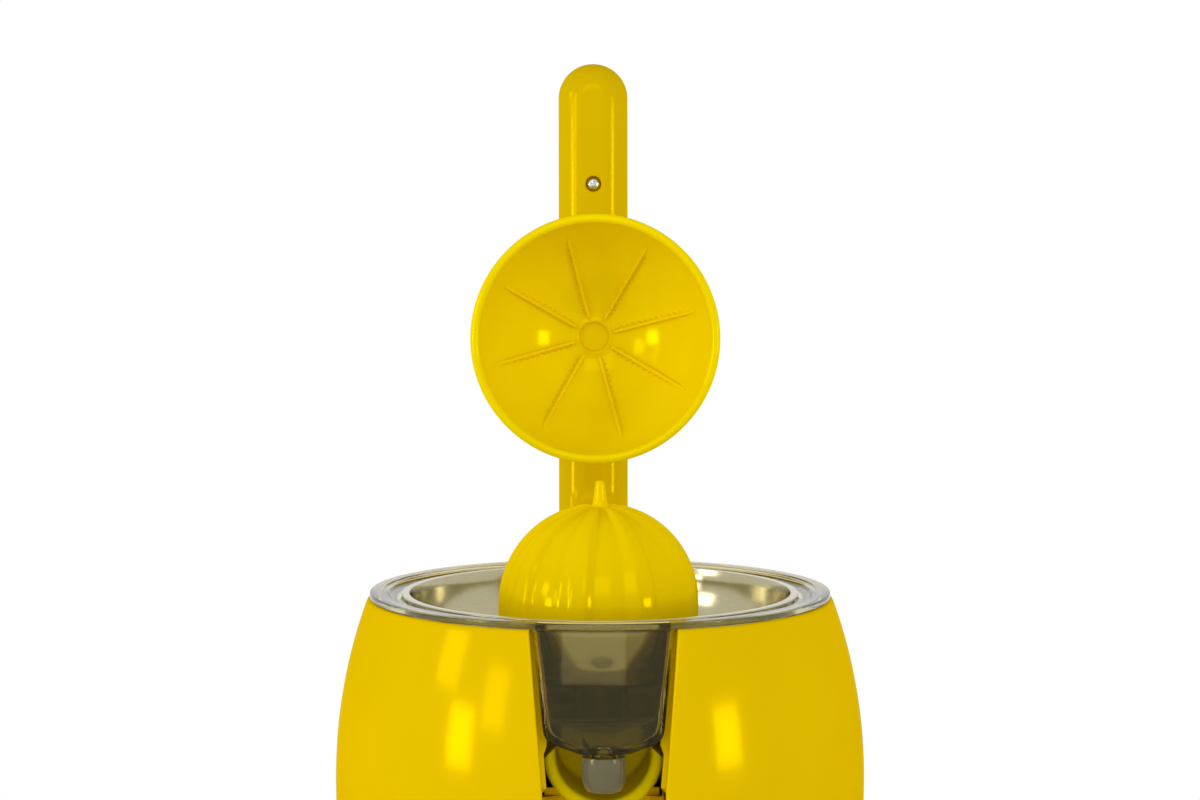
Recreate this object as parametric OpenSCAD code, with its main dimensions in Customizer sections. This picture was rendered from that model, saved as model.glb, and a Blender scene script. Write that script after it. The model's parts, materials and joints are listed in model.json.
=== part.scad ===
// Electric citrus juicer with a lever arm, arm raised.
// Z is up, the front faces -Y, and Z = 0 is the surface that it stands on.

/* [Body] */
// Height of the juice container's flange above the table
ring_z = 225; // [215:1:240]
// How far the body's top edge lies inside its widest place
body_top_in = 12.5; // [9:0.5:15]
// Largest radius of the body
body_max_r = 101.3; // [97:0.1:106]
// How far the body's base lies inside its widest place
body_base_in = 20.3; // [15:0.1:25]
// Depth of the widest place below the flange
belly_drop = 72; // [60:1:85]
// Thickness of the body's wall
body_wall = 2.5; // [2:0.1:3.2]

/* [Slot and glass bay] */
// Half width of the front slot at the rim
slot_top_half = 27.1; // [26:0.1:30]
// Half width of the front slot at its narrow end
slot_low_half = 22.2; // [21:0.1:25]
// Depth of the slot's narrow end below the flange
slot_drop = 60; // [50:1:70]
// Radius of the glass bay and of its arch
bay_r = 44; // [40:1:47]
// How far the bay's axis lies behind the spout's
bay_back = 2; // [1:0.5:5]
// Height of the centre of the bay's arch
bay_arch_z = 117; // [100:1:120]
// Thickness of the bay's wall
bay_wall = 2.5; // [2:0.1:3]
// Outer radius of the scoop behind the spout
scoop_r = 22; // [20:0.1:22.1]
// Thickness of the scoop's wall
scoop_wall = 4.6; // [3:0.1:6]
// Depth of the scoop's axis below the flange
scoop_drop = 48; // [46:0.5:50]
// How far the scoop's front edge lies behind the spout's axis
scoop_back = 9; // [9:0.5:15]
// Length of the scoop, front to back
scoop_len = 34; // [24:1:36]

/* [Juice container] */
// How far the flange's edge lies inside the body's top edge
flange_in = 0.8; // [0.2:0.1:2]
// Width of the flange's flat top
flange_w = 6.4; // [5:0.2:7]
// Thickness of the flange
flange_t = 2.4; // [2:0.1:3]
// Thickness of the clear walls
clear_wall = 2; // [1.6:0.1:2.4]
// How far the bowl's outside lies inside the flange's edge
bowl_in = 8; // [7:0.5:9]
// Depth of the container's bowl below the flange
bowl_drop = 41; // [39:0.5:43]
// Half width of the front box at the rim
box_top_half = 24.4; // [23:0.1:25]
// Half width of the front box at its bottom
box_low_half = 20; // [18:0.1:21]
// Depth of the box's V-shaped lip below the flange
lip_drop = 46; // [45:0.5:48]
// Outer radius of the chimney that the spindle passes
chimney_r = 11; // [10.5:0.1:12]
// Height of the chimney above the bowl's underside
chimney_h = 29; // [24:1:32]

/* [Spout] */
// Largest radius of the spout
spout_r = 8.1; // [7.6:0.1:9]
// Depth of the spout's pivot below the flange
spout_drop = 50.7; // [50:0.1:52]
// Length of the spout below its pivot
spout_len = 9.1; // [8.6:0.1:11]
// How far the spout's axis lies inside the body's widest place
spout_in = 9.3; // [8:0.1:10]
// Radius of the ball at the container's outlet
ball_r = 5.6; // [5:0.1:5.8]
// Radius of the juice outlet
outlet_r = 3.4; // [2.5:0.1:4]
// Tilt of the spout when it is shut
spout_tilt = 40; // [30:1:42]

/* [Sieve] */
// How far the sieve's rim lies inside the bowl's outside
sieve_in = 4; // [3:0.5:6]
// Width of the sieve's flat rim
sieve_rim_w = 3; // [2:0.5:4]
// Thickness of the steel sheet
sheet_t = 0.8; // [0.6:0.1:1]
// Depth of the sieve's floor below its rim
sieve_drop = 28; // [26:0.5:30]
// How far the sieve's flat floor ends inside its rim
sieve_floor_in = 20; // [16:1:24]
// Radius of one drain hole
drain_r = 1.4; // [1:0.1:1.6]
// Number of drain holes in a ring
drain_n = 40; // [24:2:44]

/* [Reamer] */
// Radius of the reamer over its ribs
reamer_r = 39; // [37:0.5:40]
// Depth of the ribs
rib_h = 2.4; // [1.5:0.1:3]
// Number of ribs
rib_n = 9; // [8:1:10]
// Depth of the dome's centre below the flange
dome_drop = 5.7; // [4:0.1:7]
// Height of the tip above the dome
tip_h = 8.6; // [8:0.1:10]
// Radius of the tip's foot
tip_r = 2.9; // [2:0.1:3.2]
// Radius of the tip's end
tip_end_r = 1.7; // [1:0.1:1.9]
// Thickness of the reamer's wall
reamer_wall = 2.2; // [1.8:0.1:2.6]

/* [Press cup] */
// Outer radius of the cup's rim
cup_r = 52; // [50:0.5:53]
// Thickness of the cup's wall
cup_wall = 3; // [2.5:0.1:3.5]
// Depth of the cup's bowl
cup_depth = 43; // [41:0.5:45]
// Depth of the cup's rim below the flange when the arm is down
cup_low = 2; // [1:0.5:4]
// Inner radius of the socket at the cup's centre
socket_r = 6.5; // [6:0.1:7]
// Height of the socket's collar inside the cup
socket_h = 3; // [2:0.2:4]
// Number of ribs in the cup
cup_rib_n = 8; // [6:1:10]
// Thickness of a rib in the cup
cup_rib_t = 1; // [0.8:0.1:1.4]
// Height of a rib in the cup
cup_rib_h = 1.6; // [1:0.1:2]
// How far the cup can rock on its pin, in degrees
cup_rock = 8; // [4:1:8]

/* [Arm] */
// How far the arm's hinge stands behind the body's widest place
hinge_out = 4.9; // [4.7:0.1:8]
// Depth of the hinge below the flange
hinge_drop = 18.7; // [17:0.1:21]
// How far the raised arm leans back past upright, in degrees
arm_lean = 3.2; // [2:0.1:5]
// Width of the arm
arm_w = 29.8; // [28:0.1:31]
// Thickness of the arm
arm_t = 23; // [20:0.5:24]
// Radius of the arm's bend at its centre line
bend_r = 42; // [38:1:48]
// Height of the arm's centre line above its hinge, when the arm is down
arm_rise = 85.5; // [84:0.5:90]
// Length of the arm past the cup's axis
arm_reach = 117.5; // [100:0.5:120]
// Thickness of the arm's wall
arm_wall = 2.5; // [2:0.1:3]
// Distance from the cup's axis to the arm's front screw
screw_reach = 65.5; // [58:0.5:70]
// Radius of the hinge pin
pin_r = 3; // [2.5:0.1:3.5]
// Thickness of one of the bracket's ears
ear_t = 6; // [5:0.5:7]

/* [Drive] */
// Radius of the spindle
spindle_r = 4; // [3.5:0.1:4.5]
// How far the spindle goes down when the reamer is pressed
press_travel = 2; // [1:0.1:2.4]
// Module of the motor's gears
fine_mod = 1; // [0.9:0.05:1]
// Module of the spindle's gears
coarse_mod = 1.5; // [1.4:0.05:1.5]
// Teeth of both pinions
pinion_n = 12; // [11:1:13]
// Teeth of the idler's large gear
idler_n = 48; // [44:1:48]
// Teeth of the output gear
output_n = 36; // [34:1:38]
// Distance from the spindle to the motor's axis
motor_y = 44; // [42:1:46]
// Outer radius of the motor
motor_r = 33; // [30:1:34]
// Height of the motor's steel stack
stack_h = 28; // [24:1:30]
// Radius of the motor's rotor
rotor_r = 15; // [13:0.5:16]
// Radius of the motor's shaft
shaft_r = 2.5; // [2:0.1:3]

/* [Base] */
// Height of the rubber feet
foot_h = 4; // [3:0.5:6]
// Radius of a rubber foot
foot_r = 8; // [7:0.5:10]
// Thickness of the base plate
base_t = 4; // [3:0.5:5]
// Radius of the drip tray
tray_r = 40; // [36:0.5:41]
// Height of the drip tray
tray_h = 13; // [11:0.5:16]
// How far the drip tray's axis lies behind the bay's
tray_back = 2.5; // [1:0.5:4]
// Wall of the drip tray
tray_wall = 2; // [1.6:0.1:2.4]
// Width of a slot in the drip grid
grid_slot_w = 3; // [2:0.2:4]

/* [Fits and fasteners] */
// Running clearance of a pin or shaft, on the radius
running = 0.05; // [0.03:0.01:0.09]
// Gap between pieces that lift off or pass each other
gap = 0.3; // [0.25:0.05:0.4]
// Side gap at the hinge's ears
side_gap = 0.5; // [0.3:0.1:0.8]
// Radius of a case screw's shank
screw_r = 1.5; // [1.2:0.1:2]
// Radius of a case screw's head
head_r = 3.1; // [2.8:0.1:3.2]
// Height of a case screw's head
head_h = 2; // [1.6:0.1:2.4]
// Width of a cross recess's arms
cross_w = 0.9; // [0.6:0.1:1.2]

/* [Hidden] */
cord_z = 26;
inlet_r = 5.5;
inlet_bore_r = 3.6;
lug_turns = [40, 140, 220, 320];
lug_in = 8;
lug_h = 6;
bracket_half = arm_w / 2 + side_gap + ear_t;
bracket_drop = 78;
bracket_low = ring_z - bracket_drop;
bracket_screw_drops = [38, 66];
bracket_rows = [for (drop = bracket_screw_drops) ring_z - drop];
bracket_cols = [-12, 12];
bracket_nose = 1;
bracket_skin = 2;
$fn = 72;

eps = 0.5;
far = 300;
half = 0.5;
quarter = 90;
full = 360;

// Radii and distances that follow the body
body_top_r = body_max_r - body_top_in;
body_base_r = body_max_r - body_base_in;
flange_r = body_top_r - flange_in;
bowl_r = flange_r - bowl_in;
sieve_r = bowl_r - sieve_in;
sieve_floor_r = sieve_r - sieve_floor_in;
spout_y = body_max_r - spout_in;
scoop_front = spout_y - scoop_back;
bay_y = spout_y - bay_back;
tray_y = bay_y - tray_back;
hinge_y = body_max_r + hinge_out;

// Heights of the body
belly_z = ring_z - belly_drop;
body_top_z = ring_z - flange_t - gap;
base_z = foot_h;
floor_z = base_z + base_t;
upper_rise = body_top_z - belly_z;
upper_in = body_max_r - body_top_r;
upper_arc = (upper_rise * upper_rise + upper_in * upper_in) / (2 * upper_in);
lower_rise = belly_z - base_z;
lower_in = body_max_r - body_base_r;
lower_arc = (lower_rise * lower_rise + lower_in * lower_in) / (2 * lower_in);
slot_low_z = ring_z - slot_drop;
bay_roof_z = bay_arch_z + sqrt(bay_r * bay_r - slot_low_half * slot_low_half) + gap;

// Heights inside the body
deck_t = 3;
deck_drop = 44;
deck_top = ring_z - deck_drop;
deck_low = deck_top - deck_t;
boss_h = 17;
bush_wall = 2;
boss_r = chimney_r - clear_wall - gap;
gear_room = 33;
gear_floor = deck_low - gear_room;
plate_t = 3;
case_low = gear_floor - plate_t;
case_r = 48;
case_x = 9;
case_y = 15;
deck_gap = 2.8;
deck_r = barrel_r(deck_top) - body_wall - deck_gap;
post_r = 5;
post_places = [[62, 34], [-62, 34], [66, -16], [-66, -16]];
foot_front = tray_y + tray_r / 2 + half;
foot_places = [[42, 50, 0], [-42, 50, 0], [20, -foot_front, 0], [-20, -foot_front, 0]];
case_wall = 2.5;
case_lug_turns = [60, 120, 200, 340];
case_lug_r = 5;
case_lug_h = 6;
case_lug_gap = 3.4;
case_lug_out = case_r + case_wall + case_lug_gap;
case_screw_places = [for (a = case_lug_turns)
    [case_x + case_lug_out * cos(a), case_y + case_lug_out * sin(a)]];

// Drive
mesh_fine = (pinion_n + idler_n) / 2 * fine_mod;
mesh_coarse = (pinion_n + output_n) / 2 * coarse_mod;
idler_y = (mesh_coarse * mesh_coarse - mesh_fine * mesh_fine + motor_y * motor_y) / (2 * motor_y);
idler_x = sqrt(mesh_coarse * mesh_coarse - idler_y * idler_y);
to_idler = atan2(idler_y - motor_y, idler_x);
to_spindle = atan2(-idler_y, -idler_x);
pressure = 25;
backlash_share = 0.05;
gear_lift = 3;
gear_step = 4;
fine_z = gear_floor + gear_lift;
fine_h = 6;
coarse_h = 8;
coarse_z = fine_z + fine_h + gear_step;
pinion_over = 1;
pinion_gap = 1;
pinion_tip_r = fine_mod * pinion_n / 2 + fine_mod;
root_share = 1.25;
hub_r = 10;
hub_over = 2;
key_w = 2;
key_out = 1.2;
collar_r = 8;
collar_h = 2;
collar_top = deck_low - gap;
spring_wire = 0.9;
spring_turns = 3;
spindle_under = 1;
spindle_over = 21;
spindle_low = case_low - spindle_under;
spindle_top = ring_z + spindle_over;
drive_flat_h = 24;
drive_hex_r = 5.2;
drive_wall = 2.4;

// Motor
frame_t = 3;
frame_gap = 12;
motor_top = case_low;
stack_top = motor_top - frame_t - frame_gap;
stack_low = stack_top - stack_h;
motor_low = stack_low - frame_gap - frame_t;
air_gap = 0.6;
coil_out = 4;
fan_drop = 6;
fan_h = 8;
fan_r = 24;
fan_blades = 9;
shaft_low = motor_low - fan_drop - fan_h;
tie_r = 29;
leg_r = 3;
coil_r = 25;
coil_in = 17;
coil_h = 9;
switch_size = [20, 6, 10];
plunger_r = 1.2;
plunger_out = 3;
plunger_in = 4;
switch_top = spindle_low - gap - plunger_out;
idler_pin_r = 2;

// Container
bowl_low = ring_z - bowl_drop;
bowl_floor_in = 14;
bowl_floor_r = bowl_r - bowl_floor_in;
shelf_drop = 1.8;
shelf_z = ring_z - shelf_drop;
chimney_top = bowl_low + chimney_h;
seal_h = 3;
box_inset = 1.6;
box_back = 60;
spout_z = ring_z - spout_drop;
lip_z = ring_z - lip_drop;
lip_half_share = 0.375;
trunnion_r = 1;
trunnion_out = 1.2;
spout_open = 3.5;
neck_r = sqrt(pow(ball_r + gap, 2) - spout_open * spout_open) - gap / 2;

// Sieve
sieve_top = shelf_z + gap + sheet_t;
sieve_floor = sieve_top - sieve_drop;
collar_gap = 0.8;
sieve_collar_h = 12;

// Reamer
dome_z = ring_z - dome_drop;
reamer_gap = 2.9;
reamer_low = sieve_floor + gap + reamer_gap;
tip_sink = 1;
hub_gap = 1;
core_r = reamer_r - rib_h;
hollow_r = core_r - reamer_wall;
reamer_hub_r = drive_hex_r + drive_wall;

// Arm, drawn lowered and turned back to its raised place
hinge_z = ring_z - hinge_drop;
arm_turn = quarter + arm_lean;
arm_level = hinge_z + arm_rise;
end_r = arm_t / 2;
knuckle_r = end_r - half;
knuckle_in = 2;
knuckle_w = arm_w - knuckle_in;
lug_t = 5;
lug_gap = 0.4;
cup_rim_z = ring_z - cup_low;
cup_in_r = cup_r - cup_wall;
cup_arc = (cup_in_r * cup_in_r + cup_depth * cup_depth) / (2 * cup_depth);
cup_pin_r = 2;
cup_lug_r = 4.2;
cup_lug_half = 6;
lug_lift = 0.3;
cup_centre_z = cup_rim_z + cup_depth - cup_arc;
tip_gap = 1.2;
socket_roof = 2;
socket_wall = 1.3;
socket_top = dome_z + reamer_r + tip_h + tip_gap;
cup_top = socket_top + socket_roof;
cup_pin_z = cup_top + cup_lug_r + lug_lift;
cup_boss_r = 10;
cup_lip_r = 1.9;
arm_screw_near = 34;
arm_screw_rows = [-screw_reach, arm_screw_near];
arm_boss_r = 5;
seat_depth = 3;

// Drip tray
tray_low = floor_z + gap;
grid_t = 2;
grid_under = 1;
grid_low = tray_low + tray_h - grid_t - grid_under;

// Puts the middle of the whole object, tray to raised arm, at Y = 0
back_reach = hinge_y + arm_rise * cos(arm_lean) + (hinge_y + arm_reach - end_r) * sin(arm_lean) + end_r;
axis_back = (tray_y + tray_r - back_reach) / 2;

// Moves what is drawn about the body's axis to its place in the whole object
module placed() {
    translate([0, axis_back, 0]) children();
}

module tube(outer, inner, h) {
    difference() {
        cylinder(r = outer, h = h);
        translate([0, 0, -eps]) cylinder(r = inner, h = h + 2 * eps);
    }
}

// A pan-head screw whose head is above Z = 0 and whose shank is below it
module screw(head, head_up, shank, shank_down) {
    difference() {
        union() {
            cylinder(r = head, h = head_up);
            translate([0, 0, -shank_down]) cylinder(r = shank, h = shank_down + head_up / 2);
        }
        for (turn = [0, quarter]) {
            rotate([0, 0, turn]) translate([-head * cross_w / 2, -cross_w / 2, head_up / 2])
                cube([head * cross_w, cross_w, head_up]);
        }
    }
}

// The barrel's outline, pulled in by a wall
module barrel_half(inset, low, high) {
    intersection() {
        translate([0, low]) square([far, high - low]);
        union() {
            intersection() {
                translate([body_max_r - upper_arc, belly_z]) circle(r = upper_arc - inset, $fn = 360);
                translate([0, belly_z]) square([far, far]);
            }
            intersection() {
                translate([body_max_r - lower_arc, belly_z]) circle(r = lower_arc - inset, $fn = 720);
                translate([0, belly_z - far]) square([far, far]);
            }
        }
    }
}

module barrel(inset, low, high) {
    rotate_extrude($fn = 180) barrel_half(inset, low, high);
}

// The front opening in the body, seen from the front, X across and Y up
module front_opening(inset) {
    polygon([[-slot_top_half + inset, ring_z + eps], [-slot_low_half + inset, slot_low_z],
             [-slot_low_half + inset, bay_arch_z], [slot_low_half - inset, bay_arch_z],
             [slot_low_half - inset, slot_low_z], [slot_top_half - inset, ring_z + eps]]);
    translate([0, bay_arch_z]) circle(r = bay_r - inset);
    translate([-bay_r + inset, floor_z]) square([2 * (bay_r - inset), bay_arch_z - floor_z]);
}

// Turns a shape drawn on X and Y into a prism along -Y that starts at the body's axis
module forward(depth) {
    rotate([quarter, 0, 0]) linear_extrude(height = depth) children();
}

module bay_plan(radius) {
    translate([0, -bay_y]) circle(r = radius);
    translate([-radius, -far]) square([2 * radius, far - bay_y]);
}

// Radius of the body's outside at a height
function barrel_r(z) = z > belly_z
    ? body_max_r - upper_arc + sqrt(upper_arc * upper_arc - (z - belly_z) * (z - belly_z))
    : body_max_r - lower_arc + sqrt(lower_arc * lower_arc - (z - belly_z) * (z - belly_z));

// Pieces that stand still

module bracket_holes(radius, from_y, to_y) {
    for (z = bracket_rows)
        for (x = bracket_cols)
            translate([x, from_y, z]) rotate([-quarter, 0, 0]) cylinder(r = radius, h = to_y - from_y);
}

module body_shell() {
    color("gold") placed() difference() {
        union() {
            difference() {
                barrel(0, floor_z, body_top_z);
                barrel(body_wall, base_z, ring_z);
            }
            // Lugs inside that are screwed to the chassis
            intersection() {
                barrel(body_wall / 2, deck_top, deck_top + lug_h);
                for (turn = lug_turns) rotate([0, 0, turn])
                    translate([deck_r - lug_in, -lug_in / 2, deck_top]) cube([far, lug_in, lug_h]);
            }
        }
        forward(far) front_opening(0);
        for (turn = lug_turns) rotate([0, 0, turn])
            translate([deck_r - lug_in / 2, 0, deck_top - eps]) cylinder(r = screw_r, h = lug_h + 2 * eps);
        translate([0, 0, cord_z]) rotate([-quarter, 0, 0]) cylinder(r = inlet_r, h = far);
        bracket_holes(screw_r, 0, far);
    }
}

module base_outline() {
    circle(r = body_base_r - gap, $fn = 180);
    translate([0, -tray_y]) circle(r = tray_r, $fn = 120);
}

module base_plate() {
    color("dimgray") placed() difference() {
        translate([0, 0, base_z]) linear_extrude(height = base_t) base_outline();
        for (p = post_places) translate([p[0], p[1], base_z - eps]) {
            cylinder(r = screw_r, h = base_t + 2 * eps);
            cylinder(r = head_r + gap, h = eps + head_h);
        }
        for (p = foot_places) translate([p[0], p[1], base_z - eps]) cylinder(r = screw_r, h = base_t + eps);
    }
}

module feet() {
    color("black") placed() for (p = foot_places) translate(p) {
        cylinder(r = foot_r, h = foot_h);
        translate([0, 0, foot_h - eps]) cylinder(r = screw_r, h = base_t - half + eps);
    }
}

module base_screws() {
    color("silver") placed() for (p = post_places) translate([p[0], p[1], base_z + head_h])
        mirror([0, 0, 1]) screw(head_r, head_h, screw_r, base_t + post_r);
}

module inner_chassis() {
    rim_h = 3;
    color("#222222") placed() difference() {
        union() {
            translate([0, 0, deck_low]) cylinder(r = deck_r, h = deck_t);
            translate([0, 0, deck_low]) cylinder(r = boss_r, h = deck_t + boss_h);
            translate([0, 0, deck_top - eps]) tube(deck_r - lug_in - gap, deck_r - lug_in - deck_t, rim_h);
            for (p = post_places) translate([p[0], p[1], floor_z])
                cylinder(r = post_r, h = deck_low - floor_z + eps);
        }
        translate([0, 0, deck_low - eps]) cylinder(r = spindle_r + bush_wall, h = far);
        // The space for the clear box, its outlet and the scoop
        translate([-slot_top_half, -far, deck_low - eps])
            cube([2 * slot_top_half, far - scoop_front + scoop_len, far]);
        for (turn = lug_turns) rotate([0, 0, turn])
            translate([deck_r - lug_in / 2, 0, deck_low - eps]) cylinder(r = screw_r, h = deck_t + 2 * eps);
        for (p = post_places) translate([p[0], p[1], floor_z - eps]) cylinder(r = screw_r, h = 2 * post_r);
        for (p = case_screw_places) translate([p[0], p[1], deck_low - eps])
            cylinder(r = screw_r, h = deck_t + 2 * eps);
    }
}

module chassis_screws() {
    color("silver") placed() for (turn = lug_turns) rotate([0, 0, turn])
        translate([deck_r - lug_in / 2, 0, deck_top + lug_h])
            screw(head_r, head_h, screw_r, lug_h + deck_t);
}

module bay_liner() {
    color("gold") placed() intersection() {
        barrel(body_wall + gap, floor_z, body_top_z);
        difference() {
            translate([0, 0, floor_z]) linear_extrude(height = bay_roof_z + bay_wall - floor_z)
                bay_plan(bay_r + bay_wall);
            translate([0, 0, floor_z - eps]) linear_extrude(height = bay_roof_z - floor_z + eps)
                bay_plan(bay_r);
            translate([-scoop_r - gap, -far, bay_roof_z - eps])
                cube([2 * (scoop_r + gap), far - scoop_front + scoop_len + gap, far]);
        }
    }
}

module spout_cradle() {
    flare = scoop_wall / 2;
    groove = scoop_wall / 4;
    color("gold") placed() translate([0, -scoop_front + scoop_len, ring_z - scoop_drop]) difference() {
        rotate([quarter, 0, 0]) cylinder(r = scoop_r, h = scoop_len);
        translate([0, -deck_t, 0]) rotate([quarter, 0, 0])
            cylinder(r = scoop_r - scoop_wall, h = scoop_len);
        // Two ridges with a groove between them round the front edge
        translate([0, -scoop_len + groove, 0]) rotate([quarter, 0, 0])
            tube(scoop_r - groove - half, scoop_r - scoop_wall + groove + half, groove + eps);
        // Open above, with ends that slope outwards
        rotate([quarter, 0, 0]) linear_extrude(height = far, center = true)
            polygon([[-far, far], [-scoop_r - eps, -flare], [-scoop_r + scoop_wall, flare],
                     [scoop_r - scoop_wall, flare], [scoop_r + eps, -flare], [far, far]]);
    }
}

// Side view of the arm's bracket, Y across and Z up
module bracket_side() {
    translate([hinge_y, hinge_z]) circle(r = end_r);
    polygon([[body_top_r - 2 * ear_t, bracket_low], [hinge_y, bracket_low],
             [hinge_y + end_r - bracket_nose, hinge_z - 2 * end_r],
             [hinge_y + end_r - bracket_nose, hinge_z],
             [hinge_y, hinge_z + end_r / 2], [body_top_r - 2 * ear_t, hinge_z + end_r / 2]]);
}

module across(width) {
    translate([-width / 2, 0, 0]) rotate([quarter, 0, quarter]) linear_extrude(height = width) children();
}

module arm_bracket() {
    slot = arm_w + 2 * side_gap;
    color("gold") placed() difference() {
        across(2 * bracket_half) bracket_side();
        barrel(0, base_z, body_top_z + gap);
        // The space in which the arm's foot turns
        translate([-slot / 2, 0, hinge_z - end_r - 2 * side_gap]) cube([slot, far, far]);
        translate([-far, hinge_y, hinge_z]) rotate([0, quarter, 0]) cylinder(r = pin_r, h = 2 * far);
        bracket_holes(screw_r, body_top_r, hinge_y + ear_t / 2 - bracket_skin);
    }
}

module bracket_screws() {
    color("silver") placed() for (z = bracket_rows)
        for (x = bracket_cols)
            translate([x, sqrt(pow(barrel_r(z) - body_wall, 2) - x * x) - half - gap, z])
                rotate([quarter, 0, 0]) screw(head_r, head_h, screw_r, body_wall + ear_t / 2);
}

module hinge_pin() {
    head_t = 1.5;
    color("silver") placed() translate([-bracket_half - head_t, hinge_y, hinge_z]) rotate([0, quarter, 0]) {
        cylinder(r = pin_r, h = 2 * bracket_half + 2 * head_t);
        cylinder(r = pin_r + head_t, h = head_t);
        translate([0, 0, 2 * bracket_half + head_t]) cylinder(r = pin_r + head_t, h = head_t);
    }
}

module cord_inlet() {
    rim = 2;
    wall_y = barrel_r(cord_z);
    inlet_len = body_wall + 2 * rim + 2 * half;
    color("black") placed() difference() {
        union() {
            translate([0, wall_y - body_wall - rim - half, cord_z]) rotate([-quarter, 0, 0])
                cylinder(r = inlet_r, h = inlet_len);
            // The rims lie against the wall's curve, outside and inside
            difference() {
                translate([0, wall_y - body_wall, cord_z]) rotate([-quarter, 0, 0])
                    cylinder(r = inlet_r + rim, h = body_wall + rim + half);
                barrel(-running, floor_z, deck_top);
            }
            intersection() {
                translate([0, wall_y - body_wall - rim - half, cord_z]) rotate([-quarter, 0, 0])
                    cylinder(r = inlet_r + rim, h = 2 * rim + half);
                barrel(body_wall + running, floor_z, deck_top);
            }
        }
        translate([0, wall_y - body_wall - rim - half - eps, cord_z]) rotate([-quarter, 0, 0])
            cylinder(r = inlet_bore_r, h = far);
    }
}

// Drive, standing parts

module spindle_bushes() {
    color("darkgoldenrod") placed() {
        translate([0, 0, deck_low])
            tube(spindle_r + bush_wall, spindle_r + running, deck_t + boss_h - seal_h);
        translate([0, 0, case_low])
            tube(spindle_r + bush_wall, spindle_r + running, coarse_z - gap - case_low);
    }
}

module shaft_seal() {
    color("black") placed() translate([0, 0, deck_top + boss_h - seal_h]) {
        tube(spindle_r + bush_wall, spindle_r + running, seal_h);
        translate([0, 0, seal_h]) tube(boss_r, spindle_r + running, seal_h / 2);
    }
}

module gear_case() {
    lug_w = 4;
    color("whitesmoke") placed() difference() {
        union() {
            translate([case_x, case_y, case_low]) cylinder(r = case_r + case_wall, h = plate_t);
            translate([case_x, case_y, case_low]) tube(case_r + case_wall, case_r, deck_low - case_low);
            translate([0, 0, case_low])
                cylinder(r = spindle_r + 2 * bush_wall, h = coarse_z - gap - case_low);
            translate([idler_x, idler_y, case_low])
                cylinder(r = idler_pin_r + bush_wall, h = fine_z - gap - case_low);
            for (p = case_screw_places) translate([p[0], p[1], deck_low - case_lug_h])
                cylinder(r = case_lug_r, h = case_lug_h);
            for (side = [-1, 1]) translate([side * (switch_size[0] + lug_w) / 2 - lug_w / 2,
                                            -switch_size[1] / 2, switch_top - switch_size[2]])
                cube([lug_w, switch_size[1], case_low - switch_top + switch_size[2] + eps]);
        }
        translate([0, 0, case_low - eps]) cylinder(r = spindle_r + bush_wall, h = far);
        translate([idler_x, idler_y, case_low - eps]) cylinder(r = idler_pin_r, h = far);
        translate([0, motor_y, case_low - eps])
            cylinder(r = pinion_tip_r + pinion_gap, h = plate_t + 2 * eps);
        for (p = case_screw_places) translate([p[0], p[1], deck_low - case_lug_h - eps])
            cylinder(r = screw_r, h = case_lug_h + 2 * eps);
        at_ties() translate([0, 0, case_low - eps]) cylinder(r = screw_r, h = plate_t + 2 * eps);
    }
}

module gear_case_screws() {
    color("silver") placed() for (p = case_screw_places) translate([p[0], p[1], deck_low - case_lug_h])
        mirror([0, 0, 1]) screw(head_r, head_h, screw_r, case_lug_h + deck_t);
}

module idler_pin() {
    color("silver") placed() translate([idler_x, idler_y, case_low])
        cylinder(r = idler_pin_r, h = deck_low - case_low);
}

// Motor

module at_ties() {
    for (turn = [45, 135, 225, 315])
        translate([0, motor_y, 0]) rotate([0, 0, turn]) translate([tie_r, 0, 0]) children();
}

module motor_stator() {
    color("gray") placed() difference() {
        translate([0, motor_y, stack_low]) tube(motor_r, rotor_r + air_gap, stack_h);
        at_ties() translate([0, 0, stack_low - eps]) cylinder(r = screw_r, h = stack_h + 2 * eps);
    }
}

module motor_winding() {
    color("peru") placed() translate([0, motor_y, 0]) {
        translate([0, 0, stack_top]) tube(coil_r, coil_in, coil_h);
        translate([0, 0, stack_low - coil_h]) tube(coil_r, coil_in, coil_h);
    }
}

module motor_frame(plate_low, legs_low, legs_in) {
    color("silver") placed() difference() {
        union() {
            translate([0, motor_y, plate_low]) cylinder(r = motor_r, h = frame_t);
            at_ties() translate([0, 0, legs_low - legs_in]) cylinder(r = leg_r, h = frame_gap + eps);
        }
        translate([0, motor_y, plate_low - eps]) cylinder(r = shaft_r + bush_wall, h = frame_t + 2 * eps);
        at_ties() translate([0, 0, stack_low - frame_gap - frame_t - eps]) cylinder(r = screw_r, h = far);
    }
}

module motor_upper_frame() {
    motor_frame(motor_top - frame_t, stack_top, 0);
}

module motor_lower_frame() {
    motor_frame(motor_low, stack_low - frame_gap, eps);
}

module motor_bushes() {
    color("darkgoldenrod") placed() for (z = [motor_top - frame_t, motor_low])
        translate([0, motor_y, z]) tube(shaft_r + bush_wall, shaft_r + running, frame_t);
}

module motor_screws() {
    color("silver") placed() at_ties() translate([0, 0, motor_low]) mirror([0, 0, 1])
        screw(head_r, head_h, screw_r, gear_floor - motor_low);
}

// Switch and wiring block

module microswitch() {
    color("black") placed() translate([0, 0, switch_top]) difference() {
        translate([-switch_size[0] / 2, -switch_size[1] / 2, -switch_size[2]]) cube(switch_size);
        translate([0, 0, -plunger_in - press_travel - half]) cylinder(r = plunger_r + running, h = far);
    }
}

module terminal_block() {
    block = [26, 12, 11];
    block_place = [-34, 42];
    wells = 3;
    color("ivory") placed() translate([block_place[0], block_place[1], floor_z]) difference() {
        cube(block);
        for (i = [0 : wells - 1])
            translate([block[0] * (i + half) / wells, block[1] / 2, block[2] / 2])
                cylinder(r = head_r - half, h = block[2]);
    }
}

// Arm: drawn lowered, then turned up about its hinge

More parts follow.
